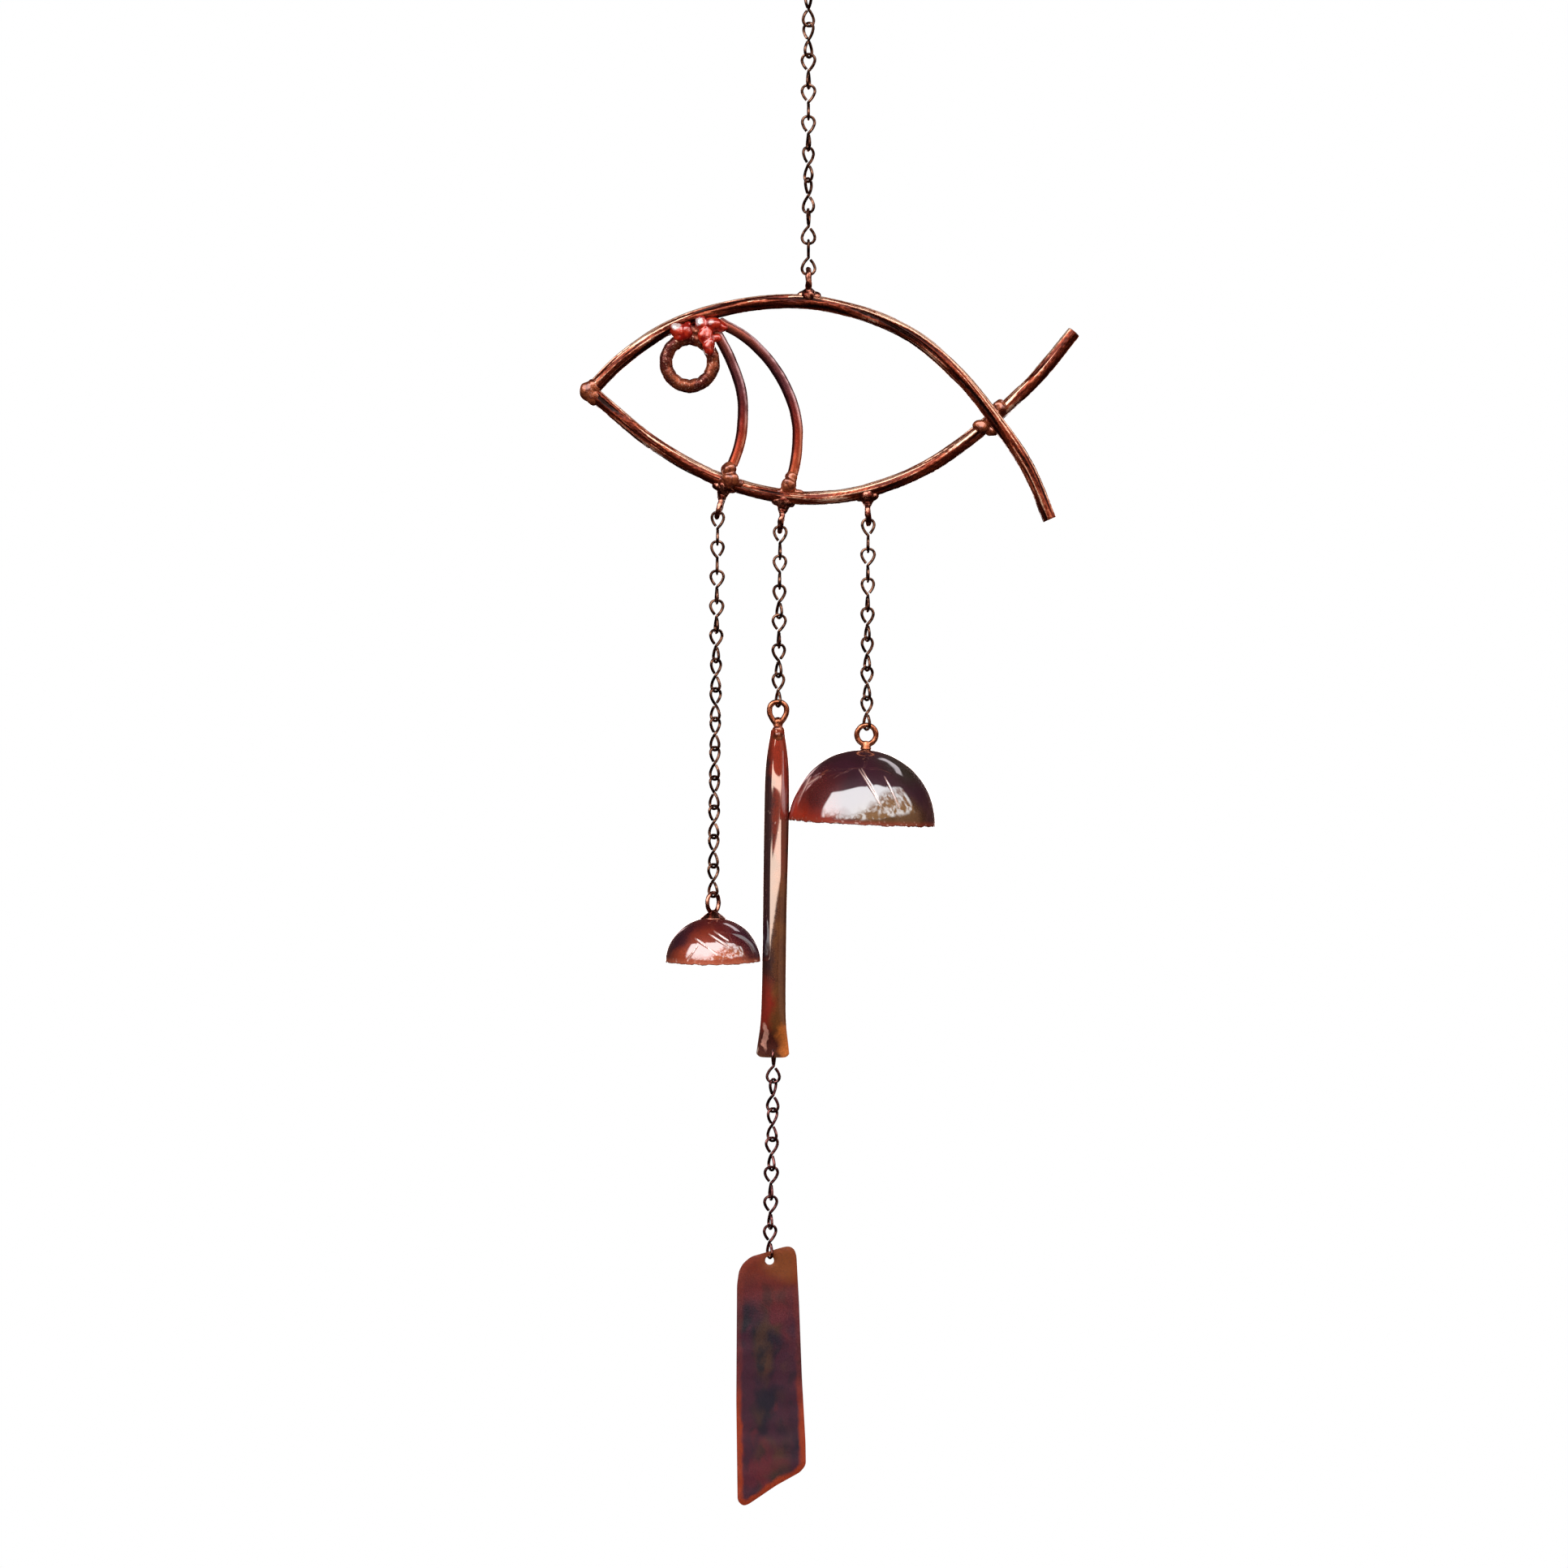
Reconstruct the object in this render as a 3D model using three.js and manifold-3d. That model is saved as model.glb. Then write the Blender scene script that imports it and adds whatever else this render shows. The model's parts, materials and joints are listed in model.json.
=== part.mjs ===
// A copper wind chime: a fish drawn in bent rod hangs on a jack chain. Below it hang two domed
// bells and a tube that strikes them, and below the tube a flat sail that catches the wind.
//
// Millimetres, +Z up, +X towards the fish's tail, the fish's flat frame in the XZ plane.
// The origin is the underside of the hanging hook's top bend, where a nail or branch bears on it.

import * as THREE from "three";
import { mergeVertices } from "three/addons/utils/BufferGeometryUtils.js";
import Module from "manifold-3d";

const wasm = await Module();
wasm.setup();

// ---------------------------------------------------------------- driving dimensions

const GAP = 0.3; // clearance between pieces that touch on the real object
const PLAY = 0.5; // clearance where a link bears on its neighbour

const LINK = { wire: 1.7, spread: 4.5, cutAngle: 52, sides: 5, steps: 16 };

const HOOK = { wire: 3.2, upperRadius: 9, lowerRadius: 6.5, tipAngle: 25, sides: 6, steps: 22 };

const ROD = { radius: 4, sides: 8, steps: 32 };
const ROD_OFFSET = 4.2; // each rod's distance from the fish's plane where they cross at the tail
const OFFSET_FROM_X = 36; // the rods begin to part here
const OFFSET_TO_X = 96; // and are fully apart here
const NOSE = [-121.6, -290];
const NOSE_OVERRUN = 8; // the rods run past the nose before the mitre cuts them

// Points [x, z] on the rods' centrelines, from the nose to the tail's tips.
const BACK_ROD = [
  NOSE, [-104.6, -272.9], [-78.2, -255.2], [-46.8, -244.3], [-4.7, -240], [32.5, -247.6],
  [60, -260.8], [82, -280], [103, -305], [121.6, -332.3], [134.3, -361.7],
];
const BELLY_ROD = [
  NOSE, [-106.5, -303], [-87.5, -318], [-50.9, -338.6], [-4.7, -349.4], [33.2, -345.2],
  [62.6, -334], [86, -319], [103, -305], [127.6, -281.6], [148.4, -256.5],
];

const GILL = { radius: 3.1, sides: 6, steps: 14 };
const FRONT_GILL = [
  [-50.4, -259], [-43.3, -272.6], [-37.4, -290], [-36.6, -306.4], [-38.6, -320], [-44.3, -335.4],
];
const REAR_GILL = [
  [-50, -251.2], [-34.3, -260.6], [-20.6, -274.6], [-11.5, -290], [-6.6, -306], [-6.6, -325],
  [-10.8, -343.8],
];

const EYE = { x: -66.2, z: -273.9, radius: 13.4, wire: 7.6, sides: 8, steps: 16 };
const EYE_LUMP = { x: -70.3, z: -256.4, radius: 4.4, stretch: 1.15 };
const GILL_LUMP = { x: -56, z: -257.2, radius: 5, stretch: 1.3 };
const LUMP_SEGMENTS = 10;
const LUMP_ROWS = 6;

// A hanger eye is a stretched ring of wire, brazed to a rod by a foot. foot is the point [x, z] on
// the rod's centreline that the eye's foot is brazed over.
const HANGER = { wire: 3.4, halfHeight: 5.6, halfDepth: 4.6, footRadius: 3.1, sides: 6, steps: 12 };
const TOP_FOOT = [0, -240];
const LEFT_FOOT = [-46, -340.5];
const MIDDLE_FOOT = [-13.4, -348.5];
const RIGHT_FOOT = [32.6, -345.4];
const FOOT_SIDES = 8;

// Where each chain bears on its neighbours, [x, z], and how far each link is turned about the
// vertical, in degrees: at 0 the upper loop faces the front and the lower loop is edge-on.
const HOOK_BEARING = [0, -52.1];
const CHAINS = {
  top: {
    start: HOOK_BEARING,
    end: [0, -224.3],
    turns: [-82, -62, -36, -10, 0, 12, 36, 60, 82, 90],
  },
  left: {
    start: [-50.5, -358],
    end: [-53.3, -571.1],
    turns: [0, 180, 8, 14, 26, 42, 222, 44, 46, 226, 45, 44, 42],
  },
  middle: {
    start: [-15.7, -366],
    end: [-16.9, -464.7],
    turns: [4, 184, 24, 8, 204, 22],
  },
  right: {
    start: [33.4, -362],
    end: [32.6, -477.6],
    turns: [180, 2, 188, 18, 24, 206, 28],
  },
  lower: {
    start: [-19.3, -658.7],
    end: [-21.7, -773.7],
    turns: [80, 62, 44, 26, 12, 16, 22],
  },
};

// lean is how far a bell hangs out of true about Y, in degrees. A loop's turn is about the
// vertical, and foot is the radius of the braze that it stands on.
const LARGE_BELL = { radius: 41.2, height: 41, wall: 1.3, lean: 2.5, rows: 6, segments: 24 };
const LARGE_LOOP = { wire: 3.1, halfHeight: 5.35, halfWidth: 5.35, turn: 0, foot: 3 };
const SMALL_BELL = { radius: 26.8, height: 24.6, wall: 1.2, lean: 0, rows: 6, segments: 20 };
const SMALL_LOOP = { wire: 2.5, halfHeight: 5.5, halfWidth: 4.6, turn: 48, foot: 3.4 };
const LOOP_SIDES = 6;
const LOOP_STEPS = 14;
const LOOP_FOOT_SIDES = 10;
const LOOP_FOOT_EXTRA = 1; // a loop's foot is this much taller than its wire is thick

// The striker's loop is a teardrop of wire whose tails run down into the tube as a plug.
const STRIKER = {
  wall: 1,
  segments: 16,
  loopTailAngle: 42,
  loopStations: 6,
  loopWire: 3.2,
  loopSpread: 6.3,
  loopHeight: 13.4,
  plugRadius: 2.9,
  plugLength: 11,
  plugRise: 2.8,
  plugSides: 8,
  holeRadius: 2.7,
  holeSides: 12,
  holeDrop: 0.6,
};
// The tube's half width in X and half depth in Y at distances below its loop's bearing point. It
// is pinched in on the loop's tails at the top and beaten flat for the chain's hole at the bottom.
const STRIKER_FORM = [
  [14.2, 4.2, 8.2],
  [17, 4.4, 8.1],
  [23, 5.3, 7.8],
  [32, 6.3, 7.2],
  [44, 6.85, 6.85],
  [160, 6.85, 6.85],
  [178, 7.3, 5],
  [189, 8.4, 2],
  [197.6, 9.2, 1.4],
];
const STRIKER_END = [-19.9, -662]; // middle of the tube's lower edge

// The sail's outline [x, z], clockwise from its upper left corner.
const SAIL = { thickness: 1, holeRadius: 2.4, holeSides: 12 };
const SAIL_OUTLINE = [
  [-40, -790], [-38.9, -782], [-36.5, -777.6], [-32, -773.9], [-23.5, -771.5], [-15.4, -768.9],
  [-10.8, -767.9], [-7.9, -769.4], [-6.6, -773.1], [-5.1, -800.9], [-3.5, -842.5], [-1.5, -878.4],
  [-1.3, -891.1], [-4.4, -895.2], [-17.7, -902.6], [-33.9, -913.7], [-36.8, -914.4],
  [-39.7, -911.4], [-40.4, -855.2],
];

const copper = (color, roughness) =>
  new THREE.MeshStandardMaterial({ color, roughness, metalness: 1 });
const MATERIALS = {
  hook: copper("#6b3f2c", 0.4),
  chain: copper("#5a3a2a", 0.4),
  rod: copper("#a8563a", 0.3),
  gill: copper("#9a4336", 0.25),
  eye: copper("#7c3f30", 0.3),
  largeBell: copper("#4a2024", 0.15),
  smallBell: copper("#6e2019", 0.2),
  striker: copper("#6d3018", 0.2),
  sail: copper("#4c2523", 0.4),
};

// ---------------------------------------------------------------- solids

const DOWN = new THREE.Vector3(0, 0, -1);
const inPlane = ([x, z]) => new THREE.Vector3(x, 0, z);
const radians = THREE.MathUtils.degToRad;

// A geometry as a manifold-3d solid.
function toSolid(geometry) {
  const bare = geometry.clone();
  bare.deleteAttribute("normal");
  bare.deleteAttribute("uv");
  const merged = mergeVertices(bare, 1e-3);
  return new wasm.Manifold(
    new wasm.Mesh({
      numProp: 3,
      vertProperties: merged.attributes.position.array,
      triVerts: new Uint32Array(merged.index.array),
    }),
  );
}

// A manifold-3d solid as a geometry.
function toGeometry(solid) {
  const mesh = solid.getMesh();
  const geometry = new THREE.BufferGeometry();
  geometry.setAttribute("position", new THREE.BufferAttribute(mesh.vertProperties, 3));
  geometry.setIndex(new THREE.BufferAttribute(mesh.triVerts, 1));
  geometry.computeVertexNormals();
  return geometry;
}

const joined = (...geometries) => toGeometry(geometries.map(toSolid).reduce((a, b) => a.add(b)));
const cut = (geometry, ...tools) =>
  toGeometry(tools.map(toSolid).reduce((left, tool) => left.subtract(tool), toSolid(geometry)));

// A round wire along a curve.
function wire(curve, radius, sides, steps) {
  const section = new THREE.Shape();
  for (let i = 0; i < sides; i += 1) {
    const angle = (2 * Math.PI * i) / sides;
    const place = [radius * Math.cos(angle), radius * Math.sin(angle)];
    if (i === 0) section.moveTo(...place);
    else section.lineTo(...place);
  }
  return new THREE.ExtrudeGeometry(section, { steps, bevelEnabled: false, extrudePath: curve });
}

const through = (points) => new THREE.CatmullRomCurve3(points, false, "centripetal");

// A closed oval of wire about the origin, in the XZ plane.
function oval(halfWidth, halfHeight, wireSize, sides, steps) {
  const geometry = new THREE.TorusGeometry(halfHeight, wireSize / 2, sides, steps);
  geometry.rotateX(Math.PI / 2);
  geometry.scale(halfWidth / halfHeight, 1, 1);
  return geometry;
}

// A round bar or cone that stands on Z, its middle at the origin.
function upright(topRadius, bottomRadius, height, sides) {
  const bar = new THREE.CylinderGeometry(topRadius, bottomRadius, height, sides);
  bar.rotateX(Math.PI / 2);
  return bar;
}

// A teardrop's outline, pointed at angle 0 and round at 180 degrees.
function teardrop(angle, spread, height) {
  const turn = radians(angle);
  return {
    across: spread * Math.sin(turn) * Math.sin(turn / 2),
    along: (height * (1 - Math.cos(turn))) / 2,
  };
}

// ---------------------------------------------------------------- the chime

const chime = new THREE.Group();

function addPart(name, geometry, material, parent = chime) {
  const mesh = new THREE.Mesh(geometry, material);
  mesh.name = name;
  parent.add(mesh);
  return mesh;
}

// One figure-of-eight link about its waist: the upper loop in XZ, the lower loop in YZ. The wire
// starts and ends beside the waist, so each loop stays a little open, as a bent link is.
function linkGeometry(pitch) {
  const loopHeight = (pitch + LINK.wire + PLAY) / 2;
  const stations = 6;
  const stride = (360 - 2 * LINK.cutAngle) / stations;
  const upper = [];
  const lower = [];
  for (let i = 0; i <= stations; i += 1) {
    const { across, along } = teardrop(LINK.cutAngle + i * stride, LINK.spread, loopHeight);
    upper.push(new THREE.Vector3(-across, 0, along));
    lower.push(new THREE.Vector3(0, across, -along));
  }
  const waist = new THREE.Vector3();
  return wire(through([...upper, waist, ...lower]), LINK.wire / 2, LINK.sides, LINK.steps);
}

// A straight chain. Each link bears on the next at an even pitch along the chain.
function addChain(name, { start, end, turns }) {
  const run = inPlane(end).sub(inPlane(start));
  const pitch = run.length() / turns.length;
  const chain = new THREE.Group();
  chain.position.copy(inPlane(start));
  chain.quaternion.setFromUnitVectors(DOWN, run.normalize());
  turns.forEach((turn, index) => {
    const number = String(index + 1).padStart(2, "0");
    const link = addPart(`${name}_chain_link_${number}`, linkGeometry(pitch), MATERIALS.chain, chain);
    link.position.z = -(index + 0.5) * pitch;
    link.rotation.z = radians(turn);
  });
  chime.add(chain);
}

// An S of wire in the XZ plane: its upper bend hangs on a nail, its lower bend holds the chain.
function addHook() {
  const upperCentre = HOOK.wire / 2 - HOOK.upperRadius;
  const lowest = HOOK_BEARING[1] - PLAY / 2 - HOOK.wire / 2;
  const lowerCentre = lowest + HOOK.lowerRadius;
  const points = [];
  const arc = (centre, radius, from, to) => {
    const strides = 6;
    for (let i = 0; i <= strides; i += 1) {
      const angle = radians(from + ((to - from) * i) / strides);
      points.push(inPlane([radius * Math.cos(angle), centre + radius * Math.sin(angle)]));
    }
  };
  arc(upperCentre, HOOK.upperRadius, -HOOK.tipAngle, 180 + HOOK.tipAngle);
  arc(lowerCentre, HOOK.lowerRadius, HOOK.tipAngle, -180 - HOOK.tipAngle);
  addPart("hanging_hook", wire(through(points), HOOK.wire / 2, HOOK.sides, HOOK.steps), MATERIALS.hook);
}

// A rod's centreline in space: it leaves the fish's plane smoothly before the tail's crossing.
function rodCurve(outline, side) {
  const [first, second] = outline;
  const ahead = inPlane(first).sub(inPlane(second)).setLength(NOSE_OVERRUN);
  const points = outline.map(([x, z]) => {
    const parting = THREE.MathUtils.smoothstep(x, OFFSET_FROM_X, OFFSET_TO_X);
    return new THREE.Vector3(x, side * ROD_OFFSET * parting, z);
  });
  return through([points[0].clone().add(ahead), ...points]);
}

const BACK_CURVE = rodCurve(BACK_ROD, -1);
const BELLY_CURVE = rodCurve(BELLY_ROD, 1);
const rodAlong = (curve, extra = 0) => wire(curve, ROD.radius + extra, ROD.sides, ROD.steps);

// A braze lump: a stretched ball.
function lump({ x, z, radius, stretch }) {
  const ball = new THREE.SphereGeometry(radius, LUMP_SEGMENTS, LUMP_ROWS);
  ball.scale(1, 1, stretch);
  ball.translate(x, 0, z);
  return ball;
}

// An eye of wire across the fish's plane, from its foot to the point where a chain bears on it. The
// rod that the foot straddles is cut out of it.
function hangerEye(bearing, foot, rod) {
  const outward = inPlane(bearing).sub(inPlane(foot)).normalize();
  const ring = oval(HANGER.halfDepth, HANGER.halfHeight, HANGER.wire, HANGER.sides, HANGER.steps);
  ring.rotateZ(Math.PI / 2);
  const base = upright(HANGER.wire / 2, HANGER.footRadius, HANGER.halfHeight, FOOT_SIDES);
  base.translate(0, 0, -HANGER.halfHeight - HANGER.wire / 2);
  const eye = joined(ring, base);
  eye.applyQuaternion(new THREE.Quaternion().setFromUnitVectors(DOWN.clone().negate(), outward));
  const reach = HANGER.halfHeight - HANGER.wire / 2 - PLAY / 2;
  const centre = inPlane(bearing).addScaledVector(outward, -reach);
  eye.translate(centre.x, 0, centre.z);
  return cut(eye, rodAlong(rod, GAP));
}

// The block that mitres a rod's nose end: it takes away what lies above the nose (side 1) or below
// it (side -1), around the nose only.
function noseBlock(side) {
  const size = 200;
  const block = new THREE.BoxGeometry(size, size, size);
  const right = NOSE[0] + 2 * ROD.radius;
  block.translate(right - size / 2, 0, NOSE[1] + (side * (GAP - size)) / 2);
  return block;
}

function addFish() {
  addPart("back_rod", cut(rodAlong(BACK_CURVE), noseBlock(1)), MATERIALS.rod);
  addPart("belly_rod", cut(rodAlong(BELLY_CURVE), noseBlock(-1)), MATERIALS.rod);

  const backRoom = rodAlong(BACK_CURVE, GAP);
  const bellyRoom = rodAlong(BELLY_CURVE, GAP);
  const gillAlong = (outline, extra = 0) =>
    wire(through(outline.map(inPlane)), GILL.radius + extra, GILL.sides, GILL.steps);
  const ringOf = (extra) => {
    const ring = oval(EYE.radius, EYE.radius, EYE.wire + 2 * extra, EYE.sides, EYE.steps);
    ring.translate(EYE.x, 0, EYE.z);
    return ring;
  };

  const eyeRing = joined(ringOf(0), lump(EYE_LUMP));
  const eyeRoom = joined(ringOf(GAP), lump({ ...EYE_LUMP, radius: EYE_LUMP.radius + GAP }));
  addPart("eye_ring", cut(eyeRing, backRoom), MATERIALS.eye);

  const frontGill = joined(gillAlong(FRONT_GILL), lump(GILL_LUMP));
  const rearRoom = gillAlong(REAR_GILL, GAP);
  addPart("front_gill", cut(frontGill, backRoom, bellyRoom, eyeRoom, rearRoom), MATERIALS.gill);
  addPart("rear_gill", cut(gillAlong(REAR_GILL), backRoom, bellyRoom), MATERIALS.gill);

  const eyes = {
    top_hanger_eye: [CHAINS.top.end, TOP_FOOT, BACK_CURVE],
    left_hanger_eye: [CHAINS.left.start, LEFT_FOOT, BELLY_CURVE],
    middle_hanger_eye: [CHAINS.middle.start, MIDDLE_FOOT, BELLY_CURVE],
    right_hanger_eye: [CHAINS.right.start, RIGHT_FOOT, BELLY_CURVE],
  };
  for (const [name, [bearing, foot, rod]] of Object.entries(eyes)) {
    addPart(name, hangerEye(bearing, foot, rod), MATERIALS.rod);
  }
}

// A bell's shell: a half oval turned about the vertical, with an even wall and an open rim. Its
// rim's middle is the origin.
function bellShell({ radius, height, wall, rows, segments }) {
  const quarter = (r, h, up) =>
    Array.from({ length: rows + 1 }, (_, i) => {
      const angle = (Math.PI / 2) * (up ? i / rows : 1 - i / rows);
      return new THREE.Vector2(i === (up ? rows : 0) ? 0 : r * Math.cos(angle), h * Math.sin(angle));
    });
  const profile = [...quarter(radius - wall, height - wall, false), ...quarter(radius, height, true)];
  const shell = new THREE.LatheGeometry(profile, segments);
  shell.rotateX(Math.PI / 2);
  return shell;
}

// A bell hangs on a brazed loop. The whole bell leans about the point where the chain bears.
function addBell(name, bell, loop, bearing, material) {
  const group = new THREE.Group();
  group.position.copy(inPlane(bearing));
  group.rotation.y = radians(bell.lean);
  const crown = PLAY / 2 + loop.wire / 2; // the loop's top wire is this far above the bearing point
  const ring = oval(loop.halfWidth, loop.halfHeight, loop.wire, LOOP_SIDES, LOOP_STEPS);
  ring.translate(0, 0, crown - loop.halfHeight);
  ring.rotateZ(radians(loop.turn));
  const footTop = crown - 2 * loop.halfHeight + loop.wire / 2;
  const footHeight = loop.wire + LOOP_FOOT_EXTRA;
  const foot = upright(loop.wire / 2, loop.foot, footHeight, LOOP_FOOT_SIDES);
  foot.translate(0, 0, footTop - footHeight / 2);
  const domeTop = footTop - footHeight - GAP;
  const shell = bellShell(bell);
  shell.translate(0, 0, domeTop - bell.height);
  addPart(`${name}_loop`, joined(ring, foot), MATERIALS.rod, group);
  addPart(`${name}_dome`, shell, material, group);
  chime.add(group);
}

// The striker's tube, open at both ends: rings of points down its outside and back up its inside,
// lathed at radius 1 and then pressed to the half widths that its form lists.
function strikerTube() {
  const rows = [
    ...STRIKER_FORM.map((row) => [...row, 0]),
    ...STRIKER_FORM.map((row) => [...row, STRIKER.wall]).reverse(),
  ];
  const rings = [...rows, rows[0]].reverse();
  const profile = rings.map(([down]) => new THREE.Vector2(1, -down));
  const tube = new THREE.LatheGeometry(profile, STRIKER.segments);
  tube.rotateX(Math.PI / 2);
  const at = tube.attributes.position;
  for (let i = 0; i < at.count; i += 1) {
    const [, halfWidth, halfDepth, inset] = rings[i % rings.length];
    at.setX(i, at.getX(i) * (halfWidth - inset));
    at.setY(i, at.getY(i) * (halfDepth - inset));
  }
  return tube;
}

function addStriker() {
  const bearing = inPlane(CHAINS.middle.end);
  const run = inPlane(STRIKER_END).sub(bearing).normalize();
  const group = new THREE.Group();
  group.position.copy(bearing);
  group.quaternion.setFromUnitVectors(DOWN, run);

  const crown = PLAY / 2 + STRIKER.loopWire / 2;
  const waist = crown - STRIKER.loopHeight;
  const points = [];
  const stride = (360 - 2 * STRIKER.loopTailAngle) / STRIKER.loopStations;
  for (let i = 0; i <= STRIKER.loopStations; i += 1) {
    const angle = STRIKER.loopTailAngle + i * stride;
    const { across, along } = teardrop(angle, STRIKER.loopSpread, STRIKER.loopHeight);
    points.push(new THREE.Vector3(across, 0, waist + along));
  }
  const loop = wire(through(points), STRIKER.loopWire / 2, LOOP_SIDES, LOOP_STEPS);
  const plug = upright(STRIKER.plugRadius, STRIKER.plugRadius, STRIKER.plugLength, STRIKER.plugSides);
  plug.translate(0, 0, waist + STRIKER.plugRise - STRIKER.plugLength / 2);
  addPart("striker_loop", joined(loop, plug), MATERIALS.rod, group);

  // The hole for the chain goes through along Y. The link bears on its lower edge.
  const drill = 4 * STRIKER.holeRadius;
  const hole = new THREE.CylinderGeometry(STRIKER.holeRadius, STRIKER.holeRadius, drill, STRIKER.holeSides);
  const hang = inPlane(CHAINS.lower.start);
  const local = hang.sub(bearing).applyQuaternion(group.quaternion.clone().invert());
  hole.translate(local.x, 0, local.z - STRIKER.holeDrop + STRIKER.holeRadius);
  addPart("striker_tube", cut(strikerTube(), hole), MATERIALS.striker, group);
  chime.add(group);
}

function addSail() {
  const outline = new THREE.Shape(SAIL_OUTLINE.map(([x, z]) => new THREE.Vector2(x, z)));
  const [x, z] = CHAINS.lower.end;
  const centre = z + PLAY / 2 - SAIL.holeRadius;
  const hole = new THREE.Path();
  for (let i = 0; i < SAIL.holeSides; i += 1) {
    const angle = (2 * Math.PI * i) / SAIL.holeSides + Math.PI / 2;
    const place = [x + SAIL.holeRadius * Math.cos(angle), centre + SAIL.holeRadius * Math.sin(angle)];
    if (i === 0) hole.moveTo(...place);
    else hole.lineTo(...place);
  }
  outline.holes.push(hole);
  const sheet = new THREE.ExtrudeGeometry(outline, { depth: SAIL.thickness, bevelEnabled: false });
  sheet.translate(0, 0, -SAIL.thickness / 2);
  sheet.rotateX(Math.PI / 2);
  addPart("wind_sail", sheet, MATERIALS.sail);
}

addHook();
for (const [name, chain] of Object.entries(CHAINS)) addChain(name, chain);
addFish();
addBell("small_bell", SMALL_BELL, SMALL_LOOP, CHAINS.left.end, MATERIALS.smallBell);
addBell("large_bell", LARGE_BELL, LARGE_LOOP, CHAINS.right.end, MATERIALS.largeBell);
addStriker();
addSail();

export default chime;
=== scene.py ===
"""A copper fish wind chime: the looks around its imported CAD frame.

The frame is +Z up, +X towards the fish's tail, and the fish is seen from -Y. Every size and place below
is in millimetres, and every angle in degrees unless its comment says radians. new_object() turns the
millimetres into Blender's metres.
"""

import json
import math

import bpy
import numpy as np
from mathutils import Matrix, Vector
from mathutils.geometry import delaunay_2d_cdt


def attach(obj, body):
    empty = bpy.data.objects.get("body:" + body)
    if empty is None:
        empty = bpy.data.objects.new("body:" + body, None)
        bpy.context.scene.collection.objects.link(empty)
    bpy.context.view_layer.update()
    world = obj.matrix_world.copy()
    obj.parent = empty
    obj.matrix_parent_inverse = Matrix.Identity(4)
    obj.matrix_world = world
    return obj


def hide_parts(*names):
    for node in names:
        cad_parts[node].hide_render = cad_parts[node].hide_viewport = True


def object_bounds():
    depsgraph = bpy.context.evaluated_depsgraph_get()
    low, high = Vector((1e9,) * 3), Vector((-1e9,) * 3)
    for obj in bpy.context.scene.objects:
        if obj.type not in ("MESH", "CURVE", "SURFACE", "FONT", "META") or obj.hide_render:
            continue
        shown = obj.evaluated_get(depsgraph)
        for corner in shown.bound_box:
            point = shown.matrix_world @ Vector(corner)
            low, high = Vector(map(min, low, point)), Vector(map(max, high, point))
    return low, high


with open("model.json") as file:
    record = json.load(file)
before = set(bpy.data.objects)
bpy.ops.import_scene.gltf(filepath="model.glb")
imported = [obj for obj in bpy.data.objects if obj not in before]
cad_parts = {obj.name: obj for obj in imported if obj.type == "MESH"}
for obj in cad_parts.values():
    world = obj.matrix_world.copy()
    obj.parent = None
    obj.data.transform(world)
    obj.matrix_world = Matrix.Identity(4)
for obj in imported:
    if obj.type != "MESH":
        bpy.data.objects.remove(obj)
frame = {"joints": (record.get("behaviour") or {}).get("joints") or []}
CAD_BOX = [list(corner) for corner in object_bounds()]

MM = 0.001
TURN = 2 * math.pi
CURVE_STEPS = 40  # how many steps a curve takes between two given points
WAVES = 16  # how many plane waves make up a ripple
BALL_ROWS, BALL_COLUMNS = 10, 16

# ---- sizes, as in the CAD model

PLAY = 0.1  # what is left between links that bear on each other
# Wires are rubbed thin where they bear on each other, from their crown to reach. Braze near a bearing is
# rubbed deeper, up to bare from it, and left as it is beyond clear.
RUB = {"depth": 0.06, "crown": 0.3, "reach": 2.4, "braze_depth": 0.12, "bare": 1.44, "clear": 4.8}
SHARP = 35  # an edge sharper than this stays an edge
SOFTEN = 0.6

LINK = {
    "radius": 0.85, "spread": 4.5, "uneven": (0.94, 1.06), "cut": 40, "strides": 8, "steps": 64, "sides": 10,
}
# How far each link of a chain is turned about the vertical.
LINK_TURNS = {
    "top": [-82, -62, -36, -10, 0, 12, 36, 60, 82, 90],
    "left": [0, 180, 8, 14, 26, 42, 222, 44, 46, 226, 45, 44, 42],
    "middle": [4, 184, 24, 8, 204, 22],
    "right": [180, 2, 188, 18, 24, 206, 28],
    "lower": [80, 62, 44, 26, 12, 16, 22],
}
CHAIN_HOLDS = {
    "top": "fish_frame",
    "left": "small_bell",
    "middle": "striker",
    "right": "large_bell",
    "lower": "wind_sail",
}

HOOK = {"radius": 1.6, "upper": 9, "lower": 6.5, "tip": 25, "strides": 9, "steps": 150, "sides": 18}

ROD_RADIUS = 4
ROD = {"steps": 640, "sides": 96, "skin": ROD_RADIUS - 0.12, "relief": (-0.55, 0.28)}
# The hammer's marks: lengths and heights in millimetres, widths and leans in radians round the rod.
GROOVES = {
    "count": 170, "reach": (7, 30), "width": (0.10, 0.26), "depth": (0.12, 0.42), "ways": [1, 1, -0.7],
    "lean": 0.006,
}
# Thin raised lines that each also carry a painted highlight; shine is how much painted highlight a line
# adds.
LINES = {
    "count": 110, "reach": (8, 34), "width": (0.05, 0.10), "front": (0.62 * math.pi, 0.5), "height": 0.12,
    "shine": 0.6, "lean": 0.004,
}
ROD_OFFSET = 4.2  # each rod's distance from the fish's plane where they cross
OFFSET_FROM_X, OFFSET_TO_X = 36, 96
NOSE = (-121.6, -290)
BACK_ROD = [
    NOSE, (-104.6, -272.9), (-78.2, -255.2), (-46.8, -244.3), (-4.7, -240), (32.5, -247.6),
    (60, -260.8), (82, -280), (103, -305), (121.6, -332.3), (134.3, -361.7),
]
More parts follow.
